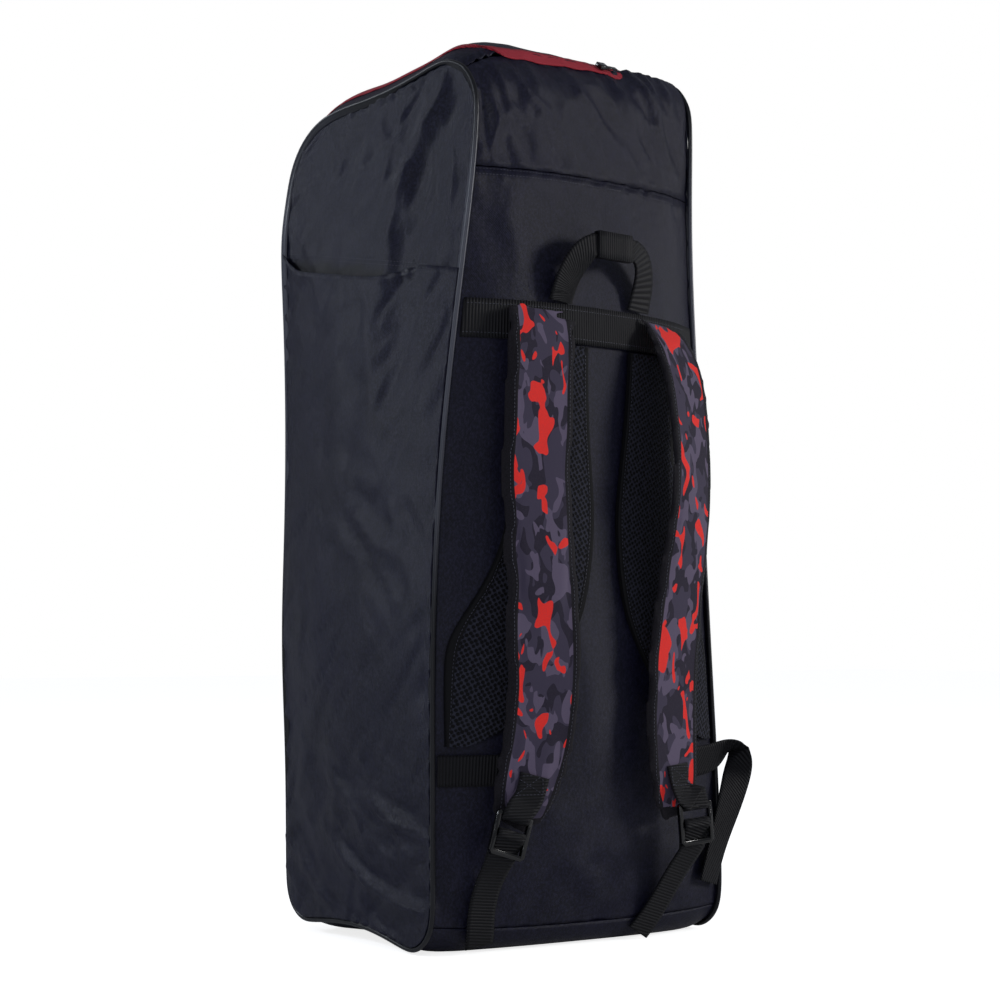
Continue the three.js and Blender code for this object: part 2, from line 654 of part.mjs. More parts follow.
function zipTape() {
  const reach = halfWidthAt(outline.topBack) - zip.inset;
  const straight = [
    ...stops.front.slice(1, -2).reverse().map((share) => ['front', share]),
    ...stops.frontHighCorner.slice().reverse().map((share) => ['frontHighCorner', share]),
    ...stops.top.slice(1, -1).reverse().map((share) => ['top', share]),
  ];
  const course = straight.map(([stretch, share]) => ({
    ahead: zipAhead(stretch, share), across: -reach, turn: 0,
  }));
  const bendSteps = 6;
  for (let i = 0; i <= bendSteps; i += 1) {
    const turn = (i / bendSteps) * (Math.PI / 2);
    course.push({
      ahead: zip.corner * (1 - Math.sin(turn)),
      across: -(reach - zip.corner + zip.corner * Math.cos(turn)),
      turn,
    });
  }
  const half = course.length;
  const crossSteps = 8;
  for (let i = 1; i < crossSteps; i += 1) {
    const across = mix(-1, 1, i / crossSteps) * (reach - zip.corner);
    course.push({ ahead: 0, across, turn: Math.PI / 2 });
  }
  for (let i = half - 1; i >= 0; i -= 1) {
    const { ahead, across, turn } = course[i];
    course.push({ ahead, across: -across, turn: Math.PI - turn });
  }
  const pointAt = (lift) => (i, j) => {
    const { ahead, across, turn } = course[i];
    const aside = (j - 0.5) * zip.width;
    return zipPoint(ahead - Math.sin(turn) * aside, across + Math.cos(turn) * aside, lift);
  };
  addPiece(
    'zip_tape',
    wallGeometry(course.length, 2, pointAt(zip.lift + zip.thick), pointAt(zip.lift)),
    'zip',
  );
}

// A point over the back panel, off it by a distance along -Y
function backPoint(x, z, off) {
  const half = halfWidthAt(z) - clothWall / 2 - seamGap;
  const low = outline.bottomBack + outline.bottomBackRadius;
  if (z < low) {
    const halvings = 30;
    let below = 0;
    let above = 1;
    for (let i = 0; i < halvings; i += 1) {
      const share = (below + above) / 2;
      if (gussetPoint('backLowCorner', share, x / half, off).z < z) {
        below = share;
      } else {
        above = share;
      }
    }
    return gussetPoint('backLowCorner', above, x / half, off);
  }
  const share = Math.min(Math.abs(x) / half, 1);
  const out = backSwellAt(z) * (1 - share ** swell.softSquare);
  return place(x, -halfDepthAt(z) - out - off, z);
}

// A direction over the back panel at a height, in the twisted body's own axes
function backVector(across, out, up, z) {
  const twist = THREE.MathUtils.degToRad(sectionValue('twist', z));
  return new THREE.Vector3(across, -out, up)
    .applyAxisAngle(new THREE.Vector3(0, 0, 1), twist)
    .normalize();
}

// Sections of a band: each row has a centre, the direction of the width, a width and a thickness.
// profile gives the section's corners in shares of both.
const flatProfile = [
  { across: -0.5, deep: -0.5 },
  { across: 0.5, deep: -0.5 },
  { across: 0.5, deep: 0.5 },
  { across: -0.5, deep: 0.5 },
];

// The pad's section is one half of it and then its mirror image
const mirrored = (half) => [
  ...half,
  ...half.slice().reverse().map(({ across, deep }) => ({ across: -across, deep })),
];
const padCrown = 0.54; // how far the pad's outer face stands from its centre line
const padProfile = mirrored([
  { across: 0.2, deep: -0.5 },
  { across: 0.44, deep: -0.44 },
  { across: 0.5, deep: -0.12 },
  { across: 0.5, deep: 0.16 },
  { across: 0.42, deep: 0.44 },
  { across: 0.2, deep: padCrown },
]);

function bandSections(rows, profile) {
  return rows.map((row, i) => {
    const before = rows[Math.max(i - 1, 0)].centre;
    const after = rows[Math.min(i + 1, rows.length - 1)].centre;
    const along = after.clone().sub(before).normalize();
    const wide = row.wide.clone().addScaledVector(along, -row.wide.dot(along)).normalize();
    const out = new THREE.Vector3().crossVectors(along, wide);
    return profile.map(({ across, deep }) =>
      row.centre.clone()
        .addScaledVector(wide, across * row.width)
        .addScaledVector(out, deep * row.thick));
  });
}

function shoulderStrap(name, rows) {
  const list = rows.map(({ x, off, z, tilt, width, thick }) => {
    const angle = THREE.MathUtils.degToRad(tilt);
    return {
      centre: backPoint(x, z, off),
      wide: backVector(Math.cos(angle), -Math.sin(angle), 0, z),
      width: width * strapPad.width,
      thick: thick * strapPad.thick,
    };
  });
  addPiece(name, loftGeometry(bandSections(list, padProfile)), 'print');
}

// The frame of a buckle: across the webbing, along it upwards, and outwards
function buckleFrame({ x, off, z, lean, tilt }) {
  const leanAngle = THREE.MathUtils.degToRad(lean);
  const tiltAngle = THREE.MathUtils.degToRad(tilt);
  const along = backVector(Math.sin(leanAngle), 0, Math.cos(leanAngle), z);
  const across = backVector(Math.cos(tiltAngle), -Math.sin(tiltAngle), 0, z);
  across.addScaledVector(along, -across.dot(along)).normalize();
  const out = new THREE.Vector3().crossVectors(across, along).normalize();
  return { centre: backPoint(x, z, off), across, along, out };
}

function framePoint(frame, across, along, out) {
  return frame.centre.clone()
    .addScaledVector(frame.across, across)
    .addScaledVector(frame.along, along)
    .addScaledVector(frame.out, out);
}

function ladderBuckle(name, frame) {
  const slotWidth = webbing.width + 2 * buckle.slack;
  const width = slotWidth + 2 * buckle.rail;
  const length = buckle.length;
  const bevel = buckle.bevel;
  const body = new THREE.Shape();
  body.moveTo(-width / 2 + bevel, -length / 2);
  body.lineTo(width / 2 - bevel, -length / 2);
  body.lineTo(width / 2, -length / 2 + bevel);
  body.lineTo(width / 2, length / 2 - bevel / 2);
  body.lineTo(width / 2 - bevel / 2, length / 2);
  body.lineTo(-width / 2 + bevel / 2, length / 2);
  body.lineTo(-width / 2, length / 2 - bevel / 2);
  body.lineTo(-width / 2, -length / 2 + bevel);
  const slotLow = -length / 2 + buckle.bar;
  const slotHigh = length / 2 - buckle.bar;
  for (const [low, high] of [[slotLow, -buckle.bar / 2], [buckle.bar / 2, slotHigh]]) {
    const slot = new THREE.Path();
    slot.moveTo(-slotWidth / 2, low);
    slot.lineTo(-slotWidth / 2, high);
    slot.lineTo(slotWidth / 2, high);
    slot.lineTo(slotWidth / 2, low);
    body.holes.push(slot);
  }
  const geometry = new THREE.ExtrudeGeometry(body, { depth: buckle.thick, bevelEnabled: false });
  geometry.translate(0, 0, -buckle.thick / 2);
  const piece = addPiece(name, geometry, 'plastic');
  piece.applyMatrix4(
    new THREE.Matrix4().makeBasis(frame.across, frame.along, frame.out).setPosition(frame.centre),
  );
}

// A webbing band through points given as along and out in a buckle's frame, before or after rows
// of its own
function webRow(centre, wide, width = webbing.width, thick = webbing.thick) {
  return { centre, wide, width, thick };
}

function frameRows(frame, points) {
  return points.map(({ along, out }) => webRow(framePoint(frame, 0, along, out), frame.across));
}

// A place on the outer face of a padded strap at a height
function padFaceRow(rows, z, lift) {
  let i = 0;
  while (i < rows.length - 2 && z < rows[i + 1].z) {
    i += 1;
  }
  const t = (rows[i].z - z) / (rows[i].z - rows[i + 1].z);
  const at = (key) => mix(rows[i][key], rows[i + 1][key], t);
  const off = at('off') + padCrown * at('thick') * strapPad.thick + lift;
  const tilt = THREE.MathUtils.degToRad(at('tilt'));
  return webRow(backPoint(at('x'), z, off), backVector(Math.cos(tilt), -Math.sin(tilt), 0, z));
}

// Webbing sewn on the strap, round the buckle's upper bar
function buckleWeb(name, frame, seat, rows) {
  const barTop = buckle.length / 2;
  const slotTop = barTop - buckle.bar;
  const half = webbing.thick / 2;
  const clear = buckle.thick / 2 + seamGap + half;
  const lie = half + 3 * seamGap;
  const downTo = (share) => mix(seat.patchTop, seat.z + barTop, share);
  const list = [
    padFaceRow(rows, seat.patchTop, lie),
    padFaceRow(rows, downTo(webRise.upperShare), lie + webRise.upper),
    padFaceRow(rows, downTo(webRise.lowerShare), lie + webRise.lower),
    ...frameRows(frame, [
      { along: barTop + 3.4, out: clear + 1.4 },
      { along: slotTop + 0.6, out: clear + 0.2 },
      { along: slotTop - seamGap - half - 0.8, out: buckle.thick / 2 - 0.6 },
      { along: slotTop - seamGap - half - 0.9, out: -1.4 },
    ]),
  ];
  addPiece(name, loftGeometry(bandSections(list, flatProfile)), 'webbing');
}

// Webbing with its free end behind the buckle, over the middle bar, behind the lower bar and down
// to the bottom seam
function lowerStrap(name, frame, rows) {
  const half = webbing.thick / 2;
  const clear = buckle.thick / 2 + seamGap + half;
  const edge = buckle.bar / 2 + seamGap + half;
  const lowBar = -buckle.length / 2;
  const list = [
    ...frameRows(frame, [
      { along: lowBar - 6, out: -clear - 6 },
      { along: lowBar + 8, out: -clear - 4.2 },
      { along: -2, out: -clear - 3.4 },
      { along: edge - 0.6, out: -clear - 2.2 },
      { along: edge + 0.7, out: -clear + 0.8 },
      { along: edge + 0.6, out: buckle.thick / 2 - 1 },
      { along: edge - 0.6, out: clear - 0.2 },
      { along: 0, out: clear + 0.5 },
      { along: -edge + 0.6, out: clear - 0.2 },
      { along: -edge - 0.8, out: buckle.thick / 2 - 2 },
      { along: lowBar + buckle.bar + 3.6, out: -clear + 0.6 },
      { along: lowBar + buckle.bar + 0.2, out: -clear - 0.6 },
      { along: lowBar - 3, out: -clear - 2.4 },
    ]),
    ...rows.map(({ x, off, z, tilt }) => {
      const angle = THREE.MathUtils.degToRad(tilt);
      return webRow(backPoint(x, z, off), backVector(Math.cos(angle), -Math.sin(angle), 0, z));
    }),
  ];
  addPiece(name, loftGeometry(bandSections(list, flatProfile)), 'webbing');
}

function sideStrap(name, rows) {
  const list = rows.map(({ x, off, z, across, out, up }) =>
    webRow(backPoint(x, z, off), backVector(across, out, up, z)));
  addPiece(name, loftGeometry(bandSections(list, flatProfile)), 'webbing');
}

// Flat pads and bands that lie on the back panel
function backPatch(name, heights, bordersAt, thick, lift, columns, finishName) {
  const pointAt = (off) => (i, j) => {
    const z = heights[i];
    const [low, high] = bordersAt(z, i);
    return backPoint(mix(low, high, j / (columns - 1)), z, off);
  };
  const geometry = wallGeometry(heights.length, columns, pointAt(lift + thick), pointAt(lift));
  addPiece(name, geometry, finishName);
}

// The walls
gussetWall('back_panel_lower', 'backLowCorner', baseSeamTurn, 'back', backSeam.share, 'cloth');
gussetWall('back_panel_upper', 'back', backSeam.share, 'backHighCorner', zipTurn, 'cloth');
gussetWall('top_panel', 'backHighCorner', zipTurn, 'frontHighCorner', 1, 'cloth');
gussetWall('front_panel', 'front', 0, 'frontLowCorner', 0.28, 'cloth');
gussetWall('bottom_panel', 'frontLowCorner', 0.28, 'backLowCorner', baseSeamTurn, 'cloth');

for (const [label, side] of [['left', -1], ['right', 1]]) {
  sidePanel(`side_panel_${label}`, side);
  sidePocket(`side_pocket_${label}`, side);
  pipingRing(`piping_${label}`, side);
}

// The zip and its slider
zipTape();
{
  const lift = zip.lift + zip.thick + seamGap + slider.thick / 2;
  const centre = zipPoint(0, slider.place, lift);
  const ahead = zipPoint(0, slider.place + slider.length, lift);
  const back = zipPoint(-slider.width, slider.place, lift);
  const along = ahead.sub(centre).normalize();
  const out = new THREE.Vector3().crossVectors(along, back.sub(centre)).normalize();
  if (out.z < 0) {
    out.negate();
  }
  const across = new THREE.Vector3().crossVectors(out, along);
  const body = new THREE.BoxGeometry(slider.length, slider.width, slider.thick);
  const basis = new THREE.Matrix4().makeBasis(along, across, out);
  addPiece('zip_slider', body, 'plastic').applyMatrix4(basis.clone().setPosition(centre));
  const reach = centre.clone()
    .addScaledVector(along, slider.length / 2 + seamGap + puller.length / 2)
    .addScaledVector(out, -slider.thick / 2 + puller.thick / 2 + puller.rise);
  const tab = new THREE.BoxGeometry(puller.length, puller.width, puller.thick);
  addPiece('zip_puller', tab, 'plastic').applyMatrix4(basis.clone().setPosition(reach));
}

// The yoke band, under the straps and the handle
backPatch(
  'yoke_band', [yoke.low, (yoke.low + yoke.high) / 2, yoke.high],
  (z) => [-(halfWidthAt(z) - yoke.margin), halfWidthAt(z) - yoke.margin],
  yoke.thick, meshPad.lift, 15, 'webbing',
);

for (const [label, side] of [['left', -1], ['right', 1]]) {
  backPatch(
    `mesh_pad_${label}`, meshBorders.map(({ height }) => height * bagHeight),
    (z, i) => [side * meshBorders[i].inner * bagWidth, side * meshBorders[i].outer * bagWidth],
    meshPad.thick, meshPad.lift, 6, 'mesh',
  );
  const seat = { ...sized(buckleSeats[label]), patchTop: buckleSeats[label].patchTop * bagHeight };
  const frame = buckleFrame(seat);
  shoulderStrap(`shoulder_strap_${label}`, padRows[label]);
  ladderBuckle(`ladder_buckle_${label}`, frame);
  buckleWeb(`buckle_web_${label}`, frame, seat, padRows[label]);
  lowerStrap(`lower_strap_${label}`, frame, lowerRows[label]);
  sideStrap(`side_strap_${label}`, sideRows[label]);
}

// The grab handle
{
  const list = handleRows.map(({ x, off, z, turn, width, thick }) => {
    const angle = THREE.MathUtils.degToRad(turn);
    return {
      centre: backPoint(x, z, off),
      wide: backVector(Math.cos(angle), 0, -Math.sin(angle), z),
      width: width * webbing.width,
      thick: thick * webbing.thick,
    };
  });
  addPiece('haul_handle', loftGeometry(bandSections(list, flatProfile)), 'webbing');

  // The folded sleeve round the grip
  const grip = list.filter((_, i) => handleRows[i].turn === 90);
  const start = grip[0].centre;
  const end = grip[grip.length - 1].centre;
  const along = end.clone().sub(start).normalize();
  const up = new THREE.Vector3(0, 0, 1);
  up.addScaledVector(along, -up.dot(along)).normalize();
  const out = new THREE.Vector3().crossVectors(up, along);
  const halfTall = grip[0].width / 2 + sleeve.gap;
  const halfDeep = grip[0].thick / 2 + sleeve.gap;
  const section = new THREE.Shape();
  section.moveTo(-halfTall - sleeve.thick, -halfDeep - sleeve.thick);
  section.lineTo(halfTall + sleeve.thick, -halfDeep - sleeve.thick);
  section.lineTo(halfTall + sleeve.thick, halfDeep + sleeve.thick);
  section.lineTo(-halfTall - sleeve.thick, halfDeep + sleeve.thick);
  const hollow = new THREE.Path();
  hollow.moveTo(-halfTall, -halfDeep);
  hollow.lineTo(-halfTall, halfDeep);
  hollow.lineTo(halfTall, halfDeep);
  hollow.lineTo(halfTall, -halfDeep);
  section.holes.push(hollow);
  const length = start.distanceTo(end) - 2 * sleeve.endGap;
  const geometry = new THREE.ExtrudeGeometry(section, { depth: length, bevelEnabled: false });
  geometry.translate(0, 0, -length / 2);
  addPiece('handle_grip', geometry, 'webbing').applyMatrix4(
    new THREE.Matrix4().makeBasis(up, out.negate(), along)
      .setPosition(start.clone().lerp(end, 0.5)),
  );
}

export default group;
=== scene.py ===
import bpy
import bmesh
import math
import numpy as np
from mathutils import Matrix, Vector, noise
from mathutils.bvhtree import BVHTree
from mathutils.kdtree import KDTree


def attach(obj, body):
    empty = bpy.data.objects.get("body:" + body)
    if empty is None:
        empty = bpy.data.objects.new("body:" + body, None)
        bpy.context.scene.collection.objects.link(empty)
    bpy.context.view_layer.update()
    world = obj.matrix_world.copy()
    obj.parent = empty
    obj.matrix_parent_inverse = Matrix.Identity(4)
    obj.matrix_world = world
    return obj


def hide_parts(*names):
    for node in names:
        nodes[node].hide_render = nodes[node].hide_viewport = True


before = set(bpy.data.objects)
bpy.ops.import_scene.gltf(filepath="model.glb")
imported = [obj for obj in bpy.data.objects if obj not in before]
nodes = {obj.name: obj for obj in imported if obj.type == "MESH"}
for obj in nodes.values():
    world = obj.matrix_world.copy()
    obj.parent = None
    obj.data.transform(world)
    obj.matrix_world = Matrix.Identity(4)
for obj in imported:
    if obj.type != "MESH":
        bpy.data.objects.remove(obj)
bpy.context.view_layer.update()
print("frame loaded", len(nodes))

scene = bpy.context.scene
mm = 0.001
rims = {}  # the hard edges of each soft copy, where its folds fade out


# Soft copies of the frame's pieces

def weldedQuads(mesh, hardAngle):
    bm = bmesh.new()
    bm.from_mesh(mesh)
    bmesh.ops.remove_doubles(bm, verts=bm.verts, dist=0.00002)
    bmesh.ops.join_triangles(
        bm, faces=bm.faces, angle_face_threshold=math.radians(50),
        angle_shape_threshold=math.radians(80))
    crease = bm.edges.layers.float.new("crease_edge")
    rim = []
    for edge in bm.edges:
        if len(edge.link_faces) == 2 and edge.calc_face_angle(0) > math.radians(hardAngle):
            edge[crease] = 1.0
            rim.append((edge.verts[0].co + edge.verts[1].co) / 2)
            rim.extend(v.co.copy() for v in edge.verts)
    bm.to_mesh(mesh)
    bm.free()
    return rim


def softCopy(nodeName, levels=2, hardAngle=52):
    mesh = nodes[nodeName].data.copy()
    mesh.materials.clear()
    rim = weldedQuads(mesh, hardAngle)
    piece = bpy.data.objects.new(nodeName + "_cloth", mesh)
    scene.collection.objects.link(piece)
    smooth = piece.modifiers.new("smooth", "SUBSURF")
    smooth.levels = levels
    smooth.render_levels = levels
    applyModifiers(piece)
    rims[piece.name] = rim
    return piece


def applyModifiers(piece):
    depsgraph = bpy.context.evaluated_depsgraph_get()
    depsgraph.update()
    done = bpy.data.meshes.new_from_object(piece.evaluated_get(depsgraph), depsgraph=depsgraph)
    piece.modifiers.clear()
    old = piece.data
    piece.data = done
    bpy.data.meshes.remove(old)


def coords(piece):
    flat = np.empty(len(piece.data.vertices) * 3)
    piece.data.vertices.foreach_get("co", flat)
    return flat.reshape(-1, 3)


def setCoords(piece, points):
    piece.data.vertices.foreach_set("co", points.reshape(-1))
    piece.data.update()


def setValues(piece, name, values):
    layer = piece.data.attributes.new(name, "FLOAT", "POINT")
    layer.data.foreach_set("value", np.asarray(values, dtype=np.float32))


def finishPiece(piece, nodeName, material):
    piece.data.materials.clear()
    piece.data.materials.append(material)
    for face in piece.data.polygons:
        face.use_smooth = True
    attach(piece, "root")
    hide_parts(nodeName)


# Folds and wrinkles

def rimFade(piece, reach):
    rim = rims[piece.name]
    points = coords(piece)
    if not rim:
        return np.ones(len(points))
    tree = KDTree(len(rim))
    for i, co in enumerate(rim):
        tree.insert(co, i)
    tree.balance()
    far = np.array([tree.find(p)[2] for p in points])
    t = np.clip(far / (reach * mm), 0, 1)
    return t * t * (3 - 2 * t)


def noiseField(points, sizeMm, stretch=(1, 1, 1), offset=0.0):
    scale = [1 / (sizeMm * mm * s) for s in stretch]
    return np.array([
        noise.noise(Vector((p[0] * scale[0] + offset, p[1] * scale[1], p[2] * scale[2])))
        for p in points])


foldShape = {"bend": 0.045, "sharp": 0.55, "sharpWidth": 0.7, "soft": 0.45, "hollow": 0.4,
             "hollowAt": 1.7, "ledgeWidth": 0.6, "ledgeReach": 4}


# A fold is a ridge along a slightly bent line, with a hollow beside it and a step across it
def foldField(points, axes, folds):
    flat = points[:, axes] * 1000
    total = np.zeros(len(points))
    for a0, a1, b0, b1, width, height, step in folds:
        start = np.array([a0, a1], dtype=float)
        run = np.array([b0, b1], dtype=float) - start
        length = np.hypot(*run)
        along = np.clip(((flat - start) @ run) / length ** 2, 0, 1)
        normal = np.array([-run[1], run[0]]) / length
        bend = foldShape["bend"] * length * np.sin(math.pi * along)
        nearest = start + along[:, None] * run + bend[:, None] * normal
        far = np.hypot(*(flat - nearest).T)
        side = (flat - nearest) @ normal
        taper = np.sin(math.pi * np.clip(along * 0.9 + 0.05, 0, 1)) ** 0.6
        ridge = (foldShape["sharp"] * np.exp(-far / (foldShape["sharpWidth"] * width))
                 + foldShape["soft"] * np.exp(-(far / width) ** 2))
        hollow = np.exp(-((far - foldShape["hollowAt"] * width) / width) ** 2)
        ledge = (np.tanh(side / (foldShape["ledgeWidth"] * width))
                 * np.exp(-(far / (foldShape["ledgeReach"] * width)) ** 2))
        total += taper * (height * (ridge - foldShape["hollow"] * hollow) + step * ledge)
    return total


facetShape = {"length": 2.4, "sway": 0.22, "swayPitch": 2.3, "shift": 3.7, "least": 0.04,
              "deepest": 0.5}


# A crumpled patch is a group of facets, longer along its creases, that fades from its centre
def facetField(points, axes, crumples):
    flat = points[:, axes] * 1000
    total = np.zeros(len(points))
    for k, (a, b, reach, angle, height, size) in enumerate(crumples):
        away = flat - np.array([a, b], dtype=float)
        near = np.exp(-((away ** 2).sum(axis=1)) / reach ** 2)
        chosen = np.nonzero(near > facetShape["least"])[0]
        turn = math.radians(angle)
        along = (away @ np.array([math.cos(turn), math.sin(turn)])) / (facetShape["length"] * size)
        aside = (away @ np.array([-math.sin(turn), math.cos(turn)])) / size
        aside = aside + facetShape["sway"] * np.sin(facetShape["swayPitch"] * along + k)
        for i in chosen:
            nearest = noise.voronoi(Vector((along[i] + facetShape["shift"] * k, aside[i], 0.5)))[0]
            total[i] += height * near[i] * min(nearest[1] - nearest[0], facetShape["deepest"])
    return total


def wrinkle(piece, direction, folds, axes, settings):
    points = coords(piece)
    fade = rimFade(piece, settings["fade"])
    push = (foldField(points, axes, folds) - facetField(points, axes, settings["crumples"])) * mm
    push += settings.get("lift", 0.0) * mm
    push += settings["broad"] * mm * noiseField(points, settings["broadSize"], offset=3.1)
    skew = settings.get("skew", 0.7)
    slanted = points.copy()
    slanted[:, 2] = points[:, 2] + skew * points[:, axes[0]]
    push += settings["fine"] * mm * noiseField(
        slanted, settings["fineSize"], stretch=settings.get("stretch", (1, 1, 2.6)), offset=9.7)
    crumple = np.abs(noiseField(slanted, settings["crumpleSize"], stretch=(1.2, 1.2, 0.7), offset=1.3))
    push -= settings["crumple"] * mm * np.clip(0.22 - crumple, 0, 1) / 0.22
    points += (push * fade)[:, None] * np.array(direction)[None, :]
    points[:, 2] = np.maximum(points[:, 2], 0.0)
    setCoords(piece, points)


# Materials

def linear(hexColour):
    parts = [int(hexColour[i:i + 2], 16) / 255 for i in (0, 2, 4)]
    return tuple(c / 12.92 if c <= 0.04045 else ((c + 0.055) / 1.055) ** 2.4 for c in parts) + (1,)


def baseMaterial(name, look):
    material = bpy.data.materials.new(name)
    material.use_nodes = True
    tree = material.node_tree
    shader = tree.nodes["Principled BSDF"]
    shader.inputs["Roughness"].default_value = look.get("roughness", 0.7)
    shader.inputs["Sheen Weight"].default_value = look.get("sheen", 0.0)
    shader.inputs["Specular IOR Level"].default_value = look.get("specular", 0.4)
    shader.inputs["Coat Weight"].default_value = look.get("coat", 0.0)
    shader.inputs["Base Color"].default_value = linear(look["colour"])
    place = tree.nodes.new("ShaderNodeTexCoord")
    return material, tree, shader, place.outputs["Object"]


def noiseNode(tree, vector, scale, detail=3.0, rough=0.5, distortion=0.0):
    node = tree.nodes.new("ShaderNodeTexNoise")
    node.inputs["Scale"].default_value = scale
    node.inputs["Detail"].default_value = detail
    node.inputs["Roughness"].default_value = rough
    node.inputs["Distortion"].default_value = distortion
    tree.links.new(vector, node.inputs["Vector"])
    return node.outputs["Fac"]


def mapped(tree, vector, scale=(1, 1, 1), place=(0, 0, 0), turn=(0, 0, 0)):
    node = tree.nodes.new("ShaderNodeMapping")
    node.inputs["Scale"].default_value = scale
    node.inputs["Location"].default_value = place
    node.inputs["Rotation"].default_value = turn
    tree.links.new(vector, node.inputs["Vector"])
    return node.outputs["Vector"]


def mixColour(tree, factor, first, second):
    node = tree.nodes.new("ShaderNodeMix")
    node.data_type = "RGBA"
    if isinstance(factor, float):
        node.inputs["Factor"].default_value = factor
    else:
        tree.links.new(factor, node.inputs["Factor"])
    for socket, value in ((node.inputs[6], first), (node.inputs[7], second)):
        if isinstance(value, tuple):
            socket.default_value = value
        else:
            tree.links.new(value, socket)
    return node.outputs[2]


def steps(tree, value, low, high):
    node = tree.nodes.new("ShaderNodeMapRange")
    node.inputs["From Min"].default_value = low
    node.inputs["From Max"].default_value = high
    tree.links.new(value, node.inputs["Value"])
    return node.outputs["Result"]


def calc(tree, operation, first, second=0.0):
    node = tree.nodes.new("ShaderNodeMath")
    node.operation = operation
    for socket, value in ((node.inputs[0], first), (node.inputs[1], second)):
        if isinstance(value, (int, float)):
            socket.default_value = value
        else:
            tree.links.new(value, socket)
    return node.outputs[0]


def bumped(tree, shader, height, strength, distance):
    node = tree.nodes.new("ShaderNodeBump")
    node.inputs["Strength"].default_value = strength
    node.inputs["Distance"].default_value = distance
    tree.links.new(height, node.inputs["Height"])
    tree.links.new(node.outputs["Normal"], shader.inputs["Normal"])


def wave(tree, value, periodMm):
    turns = calc(tree, "MULTIPLY", value, 2 * math.pi / (periodMm * mm))
    return calc(tree, "SINE", turns)


def attribute(tree, name):
    node = tree.nodes.new("ShaderNodeAttribute")
    node.attribute_name = name
    return node.outputs["Fac"]


def clothMaterial(name, look):
    material, tree, shader, where = baseMaterial(name, look)
    split = tree.nodes.new("ShaderNodeSeparateXYZ")
    tree.links.new(where, split.inputs[0])
    level = calc(tree, "ADD", split.outputs["X"], split.outputs["Y"])
    weft = wave(tree, split.outputs["Z"], look["threadMm"])
    warp = wave(tree, level, look["threadMm"])
    weave = calc(tree, "MULTIPLY", weft, warp)
    patches = steps(tree, noiseNode(tree, where, 14, 4), 0.35, 0.65)
    colour = mixColour(tree, patches, linear(look["colour"]), linear(look["light"]))
    slub = noiseNode(tree, mapped(tree, where, (430, 430, 330)), 1.0, 2, 0.7)
    grain = steps(tree, slub, 0.4, 0.72)
    colour = mixColour(tree, calc(tree, "MULTIPLY", grain, 0.6), colour, linear(look["thread"]))
    # painted shade: the side panel is darkened towards near black inside its pocket's mouth, where it lies in
    # shade
    shaded = calc(tree, "MULTIPLY", attribute(tree, "painted_mouth_shade"), 0.85)
    colour = mixColour(tree, shaded, colour, linear("030305"))
    tree.links.new(colour, shader.inputs["Base Color"])
    puckers = noiseNode(tree, mapped(tree, where, (1, 1, 0.6)), 55, 5, 0.6)
    height = calc(tree, "ADD", calc(tree, "MULTIPLY", weave, 0.12), puckers)
    bumped(tree, shader, height, look.get("bump", 0.35), 0.0016)
    return material


def webbingMaterial(name, look):
    material, tree, shader, where = baseMaterial(name, look)
    ribs = wave(tree, attribute(tree, "along"), look["ribMm"])
    fuzz = noiseNode(tree, where, 900, 2)
    # painted shade and highlight: the colour follows the ribs, darker in their grooves and lighter on their
    # crests, on webbing and zip tape alike
    shade = steps(tree, ribs, -1.2, 1.2)
    colour = mixColour(tree, shade, linear(look["colour"]), linear(look["light"]))
    tree.links.new(colour, shader.inputs["Base Color"])
    height = calc(tree, "ADD", ribs, calc(tree, "MULTIPLY", fuzz, 0.5))
    bumped(tree, shader, height, 0.6, 0.0006)
    return material


def camoMaterial(name, look):
    material, tree, shader, where = baseMaterial(name, look)
    turned = mapped(tree, where, (1.1, 0.35, 0.62), turn=(0, 0.5, 0))

    def blotch(shift, scale, cut, distortion=0.6):
        vector = mapped(tree, turned, place=shift)
        value = noiseNode(tree, vector, scale, 1.1, 0.35, distortion)
        return steps(tree, value, cut, cut + 0.006)

    colour = mixColour(
        tree, blotch((1.7, 0, 0.4), 52, 0.51, 0.9), linear(look["colour"]), linear(look["dark"]))
    colour = mixColour(tree, blotch((5.2, 1, 2.1), 56, 0.55, 1.0), colour, linear(look["light"]))
    colour = mixColour(tree, blotch((9.6, 2, 7.3), 46, 0.6, 1.0), colour, linear(look["accent"]))
    edge = calc(tree, "ABSOLUTE", attribute(tree, "across"))
    binding = steps(tree, edge, look["bindingFrom"], look["bindingFrom"] + 0.01)
    ends = steps(tree, attribute(tree, "endNear"), 0.999, 1.0)
    binding = calc(tree, "MAXIMUM", binding, ends)
    colour = mixColour(tree, binding, colour, linear(look["binding"]))
    grain = steps(tree, noiseNode(tree, where, 700, 2), 0.2, 0.9)
    colour = mixColour(tree, calc(tree, "MULTIPLY", grain, 0.22), colour, linear(look["thread"]))
    tree.links.new(colour, shader.inputs["Base Color"])
    split = tree.nodes.new("ShaderNodeSeparateXYZ")
    tree.links.new(where, split.inputs[0])
    weft = wave(tree, split.outputs["Z"], 1.5)
    warp = wave(tree, split.outputs["X"], 1.5)
    weave = calc(tree, "MULTIPLY", weft, warp)
    puckers = noiseNode(tree, where, 60, 4)
    bumped(tree, shader, calc(tree, "ADD", calc(tree, "MULTIPLY", weave, 0.15), puckers), 0.3, 0.0012)
    return material


